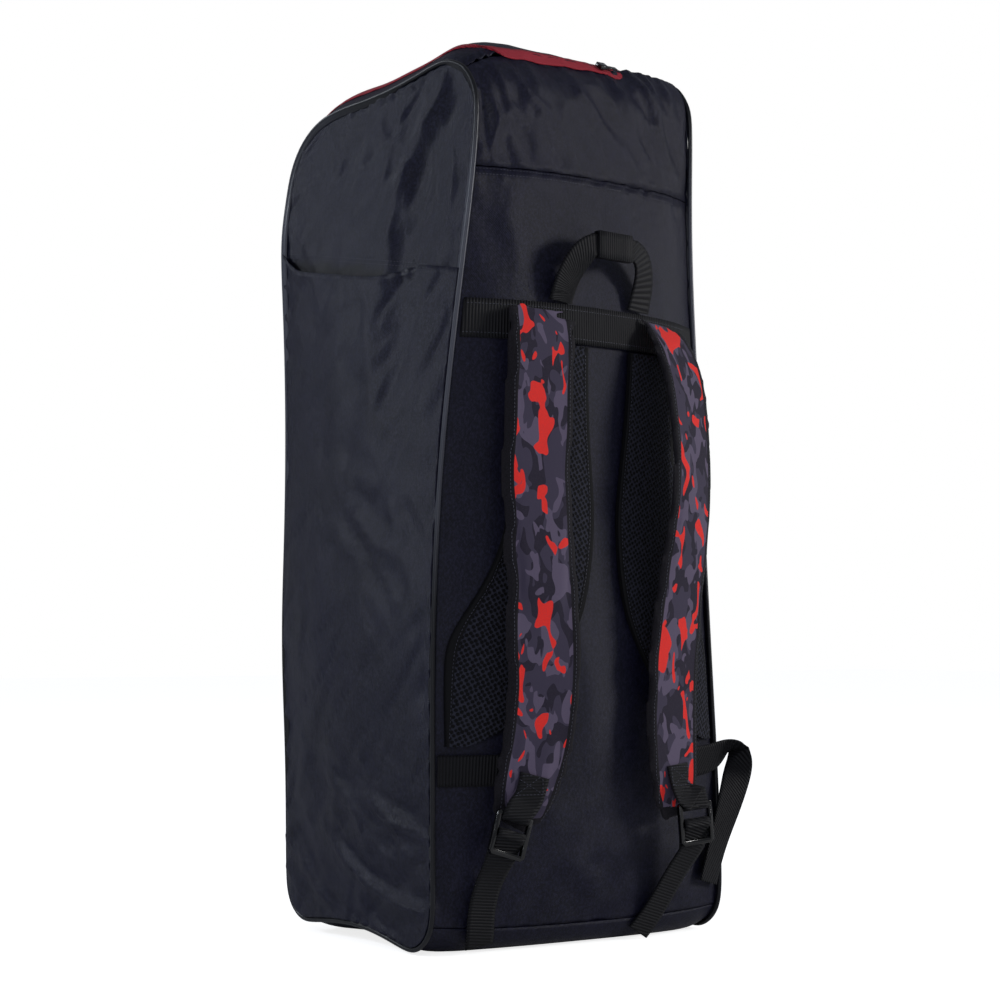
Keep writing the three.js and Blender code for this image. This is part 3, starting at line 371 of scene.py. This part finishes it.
def meshMaterial(name, look):
    material, tree, shader, where = baseMaterial(name, look)
    holes = 1 / (look["holeMm"] * mm)
    flat = mapped(tree, where, (holes, 0.05, holes), turn=(0, 0.5, 0))
    cells = tree.nodes.new("ShaderNodeTexVoronoi")
    cells.inputs["Randomness"].default_value = 0.25
    cells.inputs["Scale"].default_value = 1.0
    tree.links.new(flat, cells.inputs["Vector"])
    hole = steps(tree, cells.outputs["Distance"], 0.5, 0.3)
    edge = calc(tree, "ABSOLUTE", attribute(tree, "across"))
    binding = steps(tree, edge, 0.86, 0.88)
    hole = calc(tree, "MULTIPLY", hole, calc(tree, "SUBTRACT", 1.0, binding))
    colour = mixColour(tree, hole, linear(look["light"]), linear(look["colour"]))
    colour = mixColour(tree, binding, colour, linear(look["binding"]))
    tree.links.new(colour, shader.inputs["Base Color"])
    bumped(tree, shader, calc(tree, "SUBTRACT", 1.0, hole), 0.9, 0.0012)
    return material


def plainMaterial(name, look):
    material, tree, shader, where = baseMaterial(name, look)
    marks = steps(tree, noiseNode(tree, where, look.get("grain", 160), 4), 0.35, 0.75)
    colour = mixColour(tree, marks, linear(look["colour"]), linear(look["light"]))
    tree.links.new(colour, shader.inputs["Base Color"])
    pits = noiseNode(tree, where, look.get("grain", 160) * 3, 3)
    bumped(tree, shader, pits, look.get("bump", 0.15), 0.0004)
    return material


def pipingMaterial(name, look):
    material, tree, shader, where = baseMaterial(name, look)
    split = tree.nodes.new("ShaderNodeSeparateXYZ")
    tree.links.new(where, split.inputs[0])
    # painted highlight: a lighter band between two heights stands for the sheen along the piping's upper
    # part, with its edges broken by noise
    highlightEdgeNoise = noiseNode(tree, where, 9, 3)
    height = calc(tree, "ADD", split.outputs["Z"], calc(tree, "MULTIPLY", highlightEdgeNoise, 0.12))
    above = steps(tree, height, *look["from"])
    below = steps(tree, height, look["to"][1], look["to"][0])
    upper = calc(tree, "MULTIPLY", above, below)
    colour = mixColour(tree, upper, linear(look["dark"]), linear(look["colour"]))
    tree.links.new(colour, shader.inputs["Base Color"])
    bumped(tree, shader, noiseNode(tree, where, 300, 3), 0.3, 0.0005)
    return material


bindingFrom = 0.73  # share of a strap's half width where its sewn binding starts
materials = {
    "cloth": clothMaterial("cloth", {
        "colour": "0B0B19", "light": "101021", "thread": "2A2A42", "threadMm": 1.4,
        "roughness": 0.42, "specular": 0.22, "bump": 0.5}),
    "clothDark": clothMaterial("cloth_dark", {
        "colour": "0C0D1B", "light": "121324", "thread": "2D2E45", "threadMm": 1.4,
        "roughness": 0.38, "specular": 0.22, "bump": 0.5}),
    "webbing": webbingMaterial("webbing", {
        "colour": "060608", "light": "17171C", "ribMm": 3.0, "roughness": 0.6, "sheen": 0.02,
        "specular": 0.2}),
    "camo": camoMaterial("camo", {
        "colour": "403A4D", "dark": "262130", "light": "62586E", "accent": "FA3228",
        "binding": "040406", "thread": "4C4556", "bindingFrom": bindingFrom, "roughness": 0.75, "sheen": 0.03,
        "specular": 0.2}),
    "mesh": meshMaterial("mesh", {
        "colour": "030305", "light": "2B2C38", "binding": "0A0A0E", "holeMm": 4.2, "roughness": 0.75,
        "specular": 0.2}),
    # the piping's "colour" is its painted highlight band; "dark" is the piping's own colour
    "piping": pipingMaterial("piping", {
        "colour": "484A54", "dark": "121318", "from": (0.38, 0.56), "to": (0.80, 0.90),
        "roughness": 0.35, "specular": 0.35}),
    "zip": webbingMaterial("zip", {
        "colour": "8A1426", "light": "C4253A", "ribMm": 2.0, "roughness": 0.6, "sheen": 0.03}),
    "plastic": plainMaterial("plastic", {
        "colour": "020203", "light": "060607", "roughness": 0.16, "specular": 0.5, "coat": 0.25}),
    "thread": plainMaterial("thread", {"colour": "3A3B48", "light": "4A4B5A", "roughness": 0.6}),
}
print("materials made")

# Walls of the body

# Fold tables, in the wall's own plane in mm: start, end, half width, height, step
sideFolds = [
    (-138, 846, -87, 773, 12, 4.0, 2.0),
    (-87, 773, -72, 735, 13, 4.0, 2.5),
    (-72, 735, -70, 668, 15, 3.0, 2.5),
    (-17, 154, -134, 112, 7, 6.0, 1.6),
    (-30, 112, -84, 100, 6, -3.5, 0.0),
    (34, 100, -46, 59, 7, 5.5, 1.4),
    (-46, 59, -130, 43, 8, 5.5, 1.2),
    (60, 175, -40, 128, 8, 2.5, 0.6),
    (106, 80, 45, 33, 8, 3.0, 0.6),
    (-7, 440, -98, 378, 9, 2.2, 0.6),
    (-20, 470, -60, 452, 6, 1.8, 0.0),
    (20, 415, -30, 388, 7, 1.6, 0.0),
    (-60, 640, -50, 520, 16, 1.8, 1.2),
    (80, 800, 98, 700, 10, 2.0, 1.0),
]
backFolds = [
    (-131, 852, -120, 786, 7, 3.5, 1.0),
    (-100, 850, -46, 798, 7, 3.2, 0.8),
    (-25, 862, 63, 771, 9, 4.6, 1.6),
    (96, 874, 126, 815, 8, 3.6, 1.0),
    (20, 850, 40, 826, 6, 2.0, 0.0),
    (10, 752, 8, 705, 4, 1.4, 0.0),
    (-122, 728, -99, 668, 12, 1.6, 0.4),
    (-140, 82, -125, 28, 9, 2.2, 0.6),
    (-44, 90, 12, 46, 12, 1.8, 0.6),
    (-26, 320, -16, 183, 20, 2.0, 0.0),
    (60, 120, 20, 60, 12, 1.6, 0.4),
]
# Crumpled patches of a wall: centre, reach, way the creases run in degrees, depth, size
sideCrumples = [
    (-90, 790, 105, 100, 6.5, 34),
    (15, 770, 115, 60, 5.0, 40),
    (-60, 85, 115, 18, 8.0, 30),
    (60, 130, 110, 30, 6.0, 34),
    (-80, 410, 100, 38, 4.0, 34),
    (60, 430, 110, 70, 3.0, 40),
    (0, 640, 90, 95, 3.0, 34),
]
backCrumples = [
    (-95, 815, 75, -62, 11.0, 26),
    (30, 815, 100, -46, 13.0, 32),
    (110, 825, 75, -66, 11.0, 26),
    (-110, 55, 80, 60, 4.0, 30),
    (10, 55, 100, 35, 3.5, 34),
    (0, 700, 110, 84, 2.0, 40),
]
endCrumples = [
    (0, 720, 170, 82, 7.0, 44),
    (10, 420, 190, 96, 7.0, 50),
    (30, 130, 150, 30, 7.0, 40),
]
topCrumples = [(0, 0, 190, 24, 2.6, 38)]
wallLook = {
    "side": {"fade": 11, "crumples": sideCrumples, "broad": 2.4, "broadSize": 150, "fine": 1.7,
             "fineSize": 40, "skew": 0.8, "crumple": 1.4, "crumpleSize": 64},
    "back": {"fade": 11, "crumples": backCrumples, "broad": 1.6, "broadSize": 150, "fine": 0.5,
             "fineSize": 42, "skew": -0.6, "crumple": 0.5, "crumpleSize": 80},
    "end": {"fade": 12, "crumples": endCrumples, "broad": 3.0, "broadSize": 120, "fine": 1.1,
            "fineSize": 40, "skew": 0.5, "crumple": 0.8, "crumpleSize": 60},
    "top": {"fade": 7, "crumples": topCrumples, "lift": 4.0, "broad": 1.4, "broadSize": 120,
            "fine": 0.7, "fineSize": 40, "skew": 0.5, "crumple": 0.4, "crumpleSize": 60},
}
wallTable = [
    # node, levels, direction, fold table, plane, look, material, slot
    ("side_panel_left", 3, (-1, 0, 0), sideFolds, (1, 2), "side", "clothDark", "cloth_dark"),
    ("side_panel_right", 3, (1, 0, 0), sideFolds, (1, 2), "side", "clothDark", "cloth_dark"),
    ("side_pocket_left", 3, (-1, 0, 0), sideFolds, (1, 2), "side", "clothDark", "cloth_dark"),
    ("side_pocket_right", 3, (1, 0, 0), sideFolds, (1, 2), "side", "clothDark", "cloth_dark"),
    ("back_panel_lower", 3, (0, -1, 0), backFolds, (0, 2), "back", "cloth", "cloth"),
    ("back_panel_upper", 3, (0, -0.9, 0.3), backFolds, (0, 2), "back", "cloth", "cloth"),
    ("top_panel", 3, (0, 0, 1), [], (0, 1), "top", "cloth", "cloth"),
    ("front_panel", 3, (0, 1, 0), [], (0, 2), "end", "cloth", "cloth"),
    ("bottom_panel", 2, (0, 0, 1), [], (0, 1), "end", "cloth", "cloth"),
]
pocketLook = {"seamBack": 657, "seamFront": 702, "halfDepth": 131, "back": -0.48, "front": 0.93,
              "dip": 17, "lip": 6, "soft": 2.5}


# Where a side panel is seen through the mouth of its pocket, and so lies in its shade
def mouthShade(piece, look):
    points = coords(piece) * 1000
    share = np.clip(points[:, 1] / look["halfDepth"], -1, 1)
    seam = look["seamBack"] + (look["seamFront"] - look["seamBack"]) * (share + 1) / 2
    inside = (share > look["back"]) & (share < look["front"])
    below = np.clip((seam - points[:, 2]) / look["soft"], 0, 1)
    near = np.clip((points[:, 2] - (seam - look["dip"] - look["lip"])) / look["soft"], 0, 1)
    return np.where(inside, below * near, 0.0)


walls = {}
for nodeName, levels, direction, folds, plane, look, materialName, slotName in wallTable:
    wall = softCopy(nodeName, levels)
    if nodeName != "bottom_panel":
        wrinkle(wall, direction, folds, list(plane), wallLook[look])
    if nodeName.startswith("side_panel"):
        # painted shade of the pocket mouth, kept on the side panel for its material
        setValues(wall, "painted_mouth_shade", mouthShade(wall, pocketLook))
    finishPiece(wall, nodeName, materials[materialName])
    walls[nodeName] = wall
print("walls made")


# Piping, zip and webbing

def alongAxis(piece, axis):
    points = coords(piece)
    setValues(piece, "along", points @ np.array(axis))


def alongTurn(piece, centre, radius):
    points = coords(piece)
    angle = np.arctan2(points[:, 2] - centre[1], points[:, 0] - centre[0])
    setValues(piece, "along", angle * radius)


# core is the stretch of the middle line that the piping is drawn towards, in metres up
pipingLook = {"swell": 0.35, "draw": 0.7, "tape": 4.5, "tapeFrom": 0.72, "tapeSpan": 0.2,
              "core": (0.14, 0.74)}
for side in ("left", "right"):
    cordEdge = softCopy(f"piping_{side}", 2, 180)
    points = coords(cordEdge)
    outwards = np.empty(len(points) * 3)
    cordEdge.data.vertices.foreach_get("normal", outwards)
    outwards = outwards.reshape(-1, 3)
    points += outwards * pipingLook["swell"] * mm
    # pulled onto the seam, where its tape is sewn in
    inwards = np.stack([np.zeros(len(points)), -points[:, 1],
                        np.clip(points[:, 2], *pipingLook["core"]) - points[:, 2]], axis=1)
    inwards /= np.maximum(np.linalg.norm(inwards, axis=1), 1e-6)[:, None]
    facing = (outwards * inwards).sum(axis=1)
    tape = np.clip((facing - pipingLook["tapeFrom"]) / pipingLook["tapeSpan"], 0, 1)
    points += inwards * (pipingLook["draw"] + pipingLook["tape"] * tape)[:, None] * mm
    points[:, 2] = np.maximum(points[:, 2], 0.0)
    setCoords(cordEdge, points)
    finishPiece(cordEdge, f"piping_{side}", materials["piping"])
print("piping made")


# stand, around and reach are in mm, and the core of the body in metres
zipLook = {"stand": 1.2, "around": 9, "reach": 20, "coreDepth": (-0.09, 0.06), "coreTop": 0.79}


# The piece is laid on the cloth below it, found by rays that point at the body's core
def layOn(piece, supports, look):
    verts, faces = [], []
    for support in supports:
        base = len(verts)
        verts.extend(tuple(p) for p in coords(support))
        faces.extend(tuple(base + v for v in f.vertices) for f in support.data.polygons)
    skin = BVHTree.FromPolygons(verts, faces)
    points = coords(piece)
    out = np.stack([np.zeros(len(points)),
                    points[:, 1] - np.clip(points[:, 1], *look["coreDepth"]),
                    np.maximum(points[:, 2] - look["coreTop"], 0)], axis=1)
    out /= np.maximum(np.linalg.norm(out, axis=1), 1e-6)[:, None]
    far = look["reach"] * mm
    heights = np.zeros(len(points))
    for i, p in enumerate(points):
        hit = skin.ray_cast(Vector(p + out[i] * far), Vector(-out[i]), 2 * far)
        heights[i] = look["stand"] * mm if hit[0] is None else hit[3] - far
    near = KDTree(len(points))
    for i, p in enumerate(points):
        near.insert(p, i)
    near.balance()
    moved = points.copy()
    for i, p in enumerate(points):
        around = [k for _, k, _ in near.find_range(p, look["around"] * mm)]
        moved[i] -= out[i] * (heights[around].mean() - look["stand"] * mm)
    setCoords(piece, moved)


zipTape = softCopy("zip_tape", 2, 52)
layOn(zipTape, [walls["top_panel"], walls["back_panel_upper"], walls["front_panel"]], zipLook)
alongAxis(zipTape, (1, 0.4, 1))
# the crown stands up over the closed end of the zip
crownLook = {"fromX": 0.045, "spanX": 0.045, "fromZ": 0.835, "spanZ": 0.04, "rise": 7.0}
crown = walls["back_panel_upper"]
points = coords(crown)
share = (np.clip((points[:, 0] - crownLook["fromX"]) / crownLook["spanX"], 0, 1)
         * np.clip((points[:, 2] - crownLook["fromZ"]) / crownLook["spanZ"], 0, 1))
points[:, 2] += crownLook["rise"] * mm * share * share * (3 - 2 * share)
setCoords(crown, points)
finishPiece(zipTape, "zip_tape", materials["zip"])

webbingTable = [
    # node, levels, direction of the ribs' repeat
    ("yoke_band", 2, (1, 0, 0)),
    ("buckle_web_left", 3, (0, 0, 1)),
    ("buckle_web_right", 3, (0, 0, 1)),
    ("lower_strap_left", 3, (0.1, 0, 1)),
    ("lower_strap_right", 3, (0.3, 0, 1)),
    ("side_strap_left", 3, (1, 0, 0)),
    ("side_strap_right", 3, (1, 0, 0.7)),
    ("handle_grip", 2, (1, 0, 0)),
]
bandPieces = {}
for nodeName, levels, axis in webbingTable:
    band = softCopy(nodeName, levels, 80)
    bandPieces[nodeName] = band
    alongAxis(band, axis)
    finishPiece(band, nodeName, materials["webbing"])

handleLook = {"centre": (-0.027, 0.640), "radius": 0.045}
handle = softCopy("haul_handle", 3, 52)
alongTurn(handle, handleLook["centre"], handleLook["radius"])
finishPiece(handle, "haul_handle", materials["webbing"])
print("webbing made")


# Padded pieces

def acrossValues(piece, slices=60):
    points = coords(piece)
    z = points[:, 2]
    low, high = z.min(), z.max()
    index = np.clip(((z - low) / (high - low) * slices).astype(int), 0, slices - 1)
    left = np.full(slices, np.nan)
    right = np.full(slices, np.nan)
    for k in range(slices):
        inside = points[index == k, 0]
        if len(inside):
            left[k] = inside.min()
            right[k] = inside.max()
    centres = low + (np.arange(slices) + 0.5) * (high - low) / slices
    good = ~np.isnan(left)
    window = np.ones(5) / 5
    for side in (left, right):
        filled = np.interp(centres, centres[good], side[good])
        side[:] = np.convolve(np.pad(filled, 2, mode="edge"), window, mode="valid")
    leftAt = np.interp(z, centres, left)
    rightAt = np.interp(z, centres, right)
    across = (points[:, 0] - (leftAt + rightAt) / 2) / np.maximum((rightAt - leftAt) / 2, 1e-5)
    return np.clip(across, -1, 1), (z - low) / (high - low)


# The padding is blown up a little as cloth, and no point of it moves further than the cap
padLook = {"voxel": 4.5, "mass": 0.3, "stretch": 25, "bend": 2.0, "pressure": 4.0, "frames": 20,
           "heldEnd": 20, "cap": 1.6}
strapLook = {"soft": 0.6, "softSize": 60, "binding": 0.7, "bindingSpan": 0.012, "faceShare": 0.93,
             "endShare": 0.03}
strapPieces = []
padPieces = []


def puff(piece, look):
    remesh = piece.modifiers.new("even", "REMESH")
    remesh.mode = "VOXEL"
    remesh.voxel_size = look["voxel"] * mm
    applyModifiers(piece)
    smooth = piece.modifiers.new("soften", "SMOOTH")
    smooth.factor = 0.5
    smooth.iterations = 3
    applyModifiers(piece)
    rest = coords(piece)
    ends = piece.vertex_groups.new(name="ends")
    z = rest[:, 2]
    heldEnd = look["heldEnd"] * mm
    held = [i for i in range(len(z)) if z[i] > z.max() - heldEnd or z[i] < z.min() + heldEnd]
    ends.add(held, 1.0, "REPLACE")
    cloth = piece.modifiers.new("air", "CLOTH")
    cloth.settings.quality = 5
    cloth.settings.mass = look["mass"]
    cloth.settings.tension_stiffness = look["stretch"]
    cloth.settings.compression_stiffness = look["stretch"]
    cloth.settings.bending_stiffness = look["bend"]
    cloth.settings.use_pressure = True
    cloth.settings.uniform_pressure_force = look["pressure"]
    cloth.settings.vertex_group_mass = "ends"
    cloth.settings.effector_weights.gravity = 0.0
    cloth.point_cache.frame_start = 1
    cloth.point_cache.frame_end = look["frames"]
    for step in range(1, look["frames"] + 1):
        scene.frame_set(step)
    applyModifiers(piece)
    moved = coords(piece) - rest
    far = np.linalg.norm(moved, axis=1)
    keep = np.minimum(far, look["cap"] * mm) / np.maximum(far, 1e-9)
    setCoords(piece, rest + moved * keep[:, None])
    scene.frame_set(1)
    finer = piece.modifiers.new("finer", "SUBSURF")
    finer.levels = 1
    applyModifiers(piece)
    print("padding settled", piece.name, round(float(far.max()) * 1000, 2), len(rest))


for side in ("left", "right"):
    nodeName = f"shoulder_strap_{side}"
    strap = softCopy(nodeName, 2, 70)
    puff(strap, padLook)
    strapPieces.append(strap)
    across, up = acrossValues(strap)
    setValues(strap, "across", across)
    setValues(strap, "endNear", np.where(up < strapLook["endShare"], 1.0, 0.0))
    points = coords(strap)
    dimples = noiseField(points, strapLook["softSize"], offset=2.2)
    soft = strapLook["soft"] * mm * dimples * (1 - np.abs(across)) ** 0.5
    edge = (np.abs(across) - bindingFrom) / strapLook["bindingSpan"]
    tape = strapLook["binding"] * mm * (1 / (1 + np.exp(-edge)))
    facing = np.where(np.abs(across) < strapLook["faceShare"], 1.0, 0.0)
    points[:, 1] -= (soft + tape * facing)
    setCoords(strap, points)
    finishPiece(strap, nodeName, materials["camo"])

    nodeName = f"mesh_pad_{side}"
    pad = softCopy(nodeName, 3, 70)
    padPieces.append(pad)
    across, up = acrossValues(pad)
    setValues(pad, "across", across)
    finishPiece(pad, nodeName, materials["mesh"])
print("padding made")

# Stitching
stitchLook = {"length": 2.4, "gap": 1.3, "radius": 0.32, "stand": 0.2, "edgeBand": 4.5}
# Sewn rows in mm: a seam's height in the middle, its rise at the half width, and where it runs
seamLook = {
    "crown": {"height": 762, "rise": 5, "half": 175, "run": (-166, 138, 90), "rows": (-3.0, -8.0)},
    "pocket": {"height": 679.5, "rise": 22.5, "half": 130, "run": (-118, 122, 70), "rows": (2.5, 6.5)},
    "yoke": {"height": 591, "rise": 0, "half": 175, "run": (-170, 140, 90), "rows": (5, 33)},
}
boxLook = {"head": 24, "halfShare": 0.36, "from": 4, "to": 22}
stitchRuns = []
stitchSeats = {}


def surfacePoint(piece, origin, direction):
    if piece.name not in stitchSeats:
        points = coords(piece)
        faces = [tuple(f.vertices) for f in piece.data.polygons]
        stitchSeats[piece.name] = BVHTree.FromPolygons([tuple(p) for p in points], faces)
    hit = stitchSeats[piece.name].ray_cast(Vector(origin), Vector(direction), 1.0)
    return None if hit[0] is None else hit[0] - Vector(direction) * (stitchLook["stand"] * mm)


def stitchLine(pieces, origins, direction):
    line = []
    for origin in origins:
        spots = [surfacePoint(piece, origin, direction) for piece in pieces]
        spots = [spot for spot in spots if spot is not None]
        if spots:
            line.append(min(spots, key=lambda spot: (spot - Vector(origin)).length))
    if len(line) > 1:
        stitchRuns.append(line)


def stitchMesh(name, runs, look):
    verts, faces = [], []
    step = (look["length"] + look["gap"]) * mm
    for line in runs:
        lengths = [0.0]
        for a, b in zip(line, line[1:]):
            lengths.append(lengths[-1] + (b - a).length)
        total = lengths[-1]
        place = np.arange(0, total - look["length"] * mm, step)
        axes = [np.interp(np.concatenate([place, place + look["length"] * mm]), lengths,
                          [p[k] for p in line]) for k in range(3)]
        count = len(place)
        for i in range(count):
            a = Vector((axes[0][i], axes[1][i], axes[2][i]))
            b = Vector((axes[0][i + count], axes[1][i + count], axes[2][i + count]))
            run = (b - a).normalized()
            one = run.orthogonal().normalized() * look["radius"] * mm
            two = run.cross(one)
            base = len(verts)
            ring = (one, two, -one, -two)
            verts.append(a)
            verts.extend(a.lerp(b, 0.18) + r for r in ring)
            verts.extend(a.lerp(b, 0.82) + r for r in ring)
            verts.append(b)
            for k in range(4):
                n = (k + 1) % 4
                faces.append((base, base + 1 + n, base + 1 + k))
                faces.append((base + 1 + k, base + 1 + n, base + 5 + n, base + 5 + k))
                faces.append((base + 9, base + 5 + k, base + 5 + n))
    mesh = bpy.data.meshes.new(name)
    mesh.from_pydata([tuple(v) for v in verts], [], faces)
    piece = bpy.data.objects.new(name, mesh)
    scene.collection.objects.link(piece)
    return piece


def spread(low, high, count):
    return [low + (high - low) * i / (count - 1) for i in range(count)]


def seamRows(name):
    seam = seamLook[name]
    return [[(a * mm, (seam["height"] + seam["rise"] * a / seam["half"] + row) * mm)
             for a in spread(*seam["run"])] for row in seam["rows"]]


bodyBack = [walls["back_panel_lower"], walls["back_panel_upper"]]
sideWalls = {"left": [walls["side_panel_left"], walls["side_pocket_left"]],
             "right": [walls["side_panel_right"], walls["side_pocket_right"]]}
# the double seam under the crown, then the cross seams over the pockets, then the yoke
for row in seamRows("crown"):
    stitchLine(bodyBack, [(x, -0.5, z) for x, z in row], (0, 1, 0))
for side, sign in (("left", -1), ("right", 1)):
    for row in seamRows("pocket"):
        stitchLine(sideWalls[side], [(sign * 0.5, y, z) for y, z in row], (-sign, 0, 0))
for row in seamRows("yoke"):
    stitchLine([bandPieces["yoke_band"]], [(x, -0.5, z) for x, z in row], (0, 1, 0))


def stripEdge(piece, share, slices, low=0.02, high=0.98):
    points = coords(piece)
    across = np.empty(len(points), dtype=np.float32)
    piece.data.attributes["across"].data.foreach_get("value", across)
    z = points[:, 2]
    line = []
    for level in np.linspace(z.min() + low * np.ptp(z), z.min() + high * np.ptp(z), slices):
        band = np.abs(z - level) < stitchLook["edgeBand"] * mm
        if band.any():
            near = points[band][:, 0]
            centre, half = (near.min() + near.max()) / 2, np.ptp(near) / 2
            line.append((centre + share * half, -0.5, level))
    return line


for strap in strapPieces:
    for share in (-0.82, 0.82):
        stitchLine([strap], stripEdge(strap, share, 70), (0, 1, 0))
for pad in padPieces:
    for share in (-0.9, 0.9):
        stitchLine([pad], stripEdge(pad, share, 60), (0, 1, 0))
# the box and cross that hold the buckle webbing on the strap
for side in ("left", "right"):
    band = bandPieces[f"buckle_web_{side}"]
    points = coords(band)
    top = points[:, 2].max()
    head = points[points[:, 2] > top - boxLook["head"] * mm]
    middle, half = head[:, 0].mean(), boxLook["halfShare"] * np.ptp(head[:, 0])
    high, low = top - boxLook["from"] * mm, top - boxLook["to"] * mm
    corners = [(middle - half, high), (middle + half, high), (middle + half, low), (middle - half, low)]
    for start, end in ((0, 1), (1, 2), (2, 3), (3, 0), (0, 2), (1, 3)):
        (x0, z0), (x1, z1) = corners[start], corners[end]
        stitchLine([band], [(x0 + (x1 - x0) * t, -0.5, z0 + (z1 - z0) * t) for t in spread(0, 1, 12)],
                   (0, 1, 0))
stitching = stitchMesh("stitching", stitchRuns, stitchLook)
stitching.data.materials.append(materials["thread"])
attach(stitching, "root")
print("stitches", len(stitching.data.vertices) // 10)

# Moulded pieces, with their edges broken
mouldLook = {"bevel": 1.1, "small": 0.35, "segments": 3}
for nodeName, width in (("zip_slider", "small"), ("zip_puller", "small"),
                        ("ladder_buckle_left", "bevel"), ("ladder_buckle_right", "bevel")):
    mesh = nodes[nodeName].data.copy()
    mesh.materials.clear()
    bm = bmesh.new()
    bm.from_mesh(mesh)
    bmesh.ops.remove_doubles(bm, verts=bm.verts, dist=0.00002)
    bmesh.ops.dissolve_limit(bm, angle_limit=math.radians(2), verts=bm.verts, edges=bm.edges)
    bm.to_mesh(mesh)
    bm.free()
    moulded = bpy.data.objects.new(nodeName + "_moulded", mesh)
    moulded.matrix_world = nodes[nodeName].matrix_world
    scene.collection.objects.link(moulded)
    edges = moulded.modifiers.new("edges", "BEVEL")
    edges.width = mouldLook[width] * mm
    edges.segments = mouldLook["segments"]
    edges.limit_method = "ANGLE"
    edges.angle_limit = math.radians(30)
    edges.harden_normals = True
    applyModifiers(moulded)
    finishPiece(moulded, nodeName, materials["plastic"])
print("moulded pieces made")

# Floor, light and camera
floorMesh = bpy.data.meshes.new("floor")
reach = 14
floorMesh.from_pydata(
    [(-reach, -reach, 0), (reach, -reach, 0), (reach, reach, 0), (-reach, reach, 0)], [], [(0, 1, 2, 3)])
floor = bpy.data.objects.new("floor", floorMesh)
floor.location = (0, 0, -0.0006)
scene.collection.objects.link(floor)
floorMaterial, floorTree, floorShader, floorWhere = baseMaterial(
    "floor", {"colour": "F2F2F2", "roughness": 0.8})
glow = floorTree.nodes.new("ShaderNodeEmission")
glow.inputs["Strength"].default_value = 0.8
seen = floorTree.nodes.new("ShaderNodeLightPath")
hidden = floorTree.nodes.new("ShaderNodeMixShader")
lit = floorTree.nodes.new("ShaderNodeAddShader")
floorTree.links.new(glow.outputs[0], lit.inputs[0])
floorTree.links.new(floorShader.outputs[0], lit.inputs[1])
floorTree.links.new(seen.outputs["Is Camera Ray"], hidden.inputs[0])
floorTree.links.new(floorShader.outputs[0], hidden.inputs[1])
floorTree.links.new(lit.outputs[0], hidden.inputs[2])
floorTree.links.new(hidden.outputs[0], floorTree.nodes["Material Output"].inputs["Surface"])
floorMesh.materials.append(floorMaterial)

world = bpy.data.worlds.new("studio")
scene.world = world
world.use_nodes = True
studio = world.node_tree
backdrop = studio.nodes["Background"]
backdrop.inputs["Color"].default_value = (0.86, 0.9, 1.0, 1)
backdrop.inputs["Strength"].default_value = 0.24
paper = studio.nodes.new("ShaderNodeBackground")
paper.inputs["Color"].default_value = (1, 1, 1, 1)
paper.inputs["Strength"].default_value = 1.0
rays = studio.nodes.new("ShaderNodeLightPath")
choice = studio.nodes.new("ShaderNodeMixShader")
studio.links.new(rays.outputs["Is Camera Ray"], choice.inputs[0])
studio.links.new(backdrop.outputs[0], choice.inputs[1])
studio.links.new(paper.outputs[0], choice.inputs[2])
studio.links.new(choice.outputs[0], studio.nodes["World Output"].inputs["Surface"])

lightTable = [
    # name, place, aim, size, power, colour
    ("key", (3.2, -2.6, 1.5), (0, -0.1, 0.5), 0.9, 70, (1.0, 0.99, 0.98)),
    ("fill", (-2.6, -2.6, 1.4), (0, 0, 0.3), 0.9, 18, (0.9, 0.93, 1.0)),
    ("rim", (-3.6, 3.0, 2.7), (0, 0, 0.45), 0.9, 66, (0.84, 0.9, 1.0)),
]
for name, place, aim, size, power, tint in lightTable:
    lamp = bpy.data.lights.new(name, "AREA")
    lamp.size = size
    lamp.energy = power
    lamp.color = tint
    holder = bpy.data.objects.new(name, lamp)
    holder.location = place
    holder.rotation_euler = (Vector(aim) - Vector(place)).to_track_quat("-Z", "Y").to_euler()
    scene.collection.objects.link(holder)

shot = {"place": (-1.3135, -1.9057, 0.302), "turn": -34.5, "rise": 3.6, "lens": 79.2, "sensor": 36}
camera = bpy.data.cameras.new("camera")
camera.lens = shot["lens"]
camera.sensor_width = shot["sensor"]
camera.clip_end = 60
holder = bpy.data.objects.new("camera", camera)
holder.location = shot["place"]
turn = math.radians(shot["turn"])
rise = math.radians(shot["rise"])
ahead = Vector((-math.sin(turn) * math.cos(rise), math.cos(turn) * math.cos(rise), math.sin(rise)))
holder.rotation_euler = ahead.to_track_quat("-Z", "Y").to_euler()
scene.collection.objects.link(holder)
scene.camera = holder
scene.view_settings.view_transform = "Standard"
print("studio set")
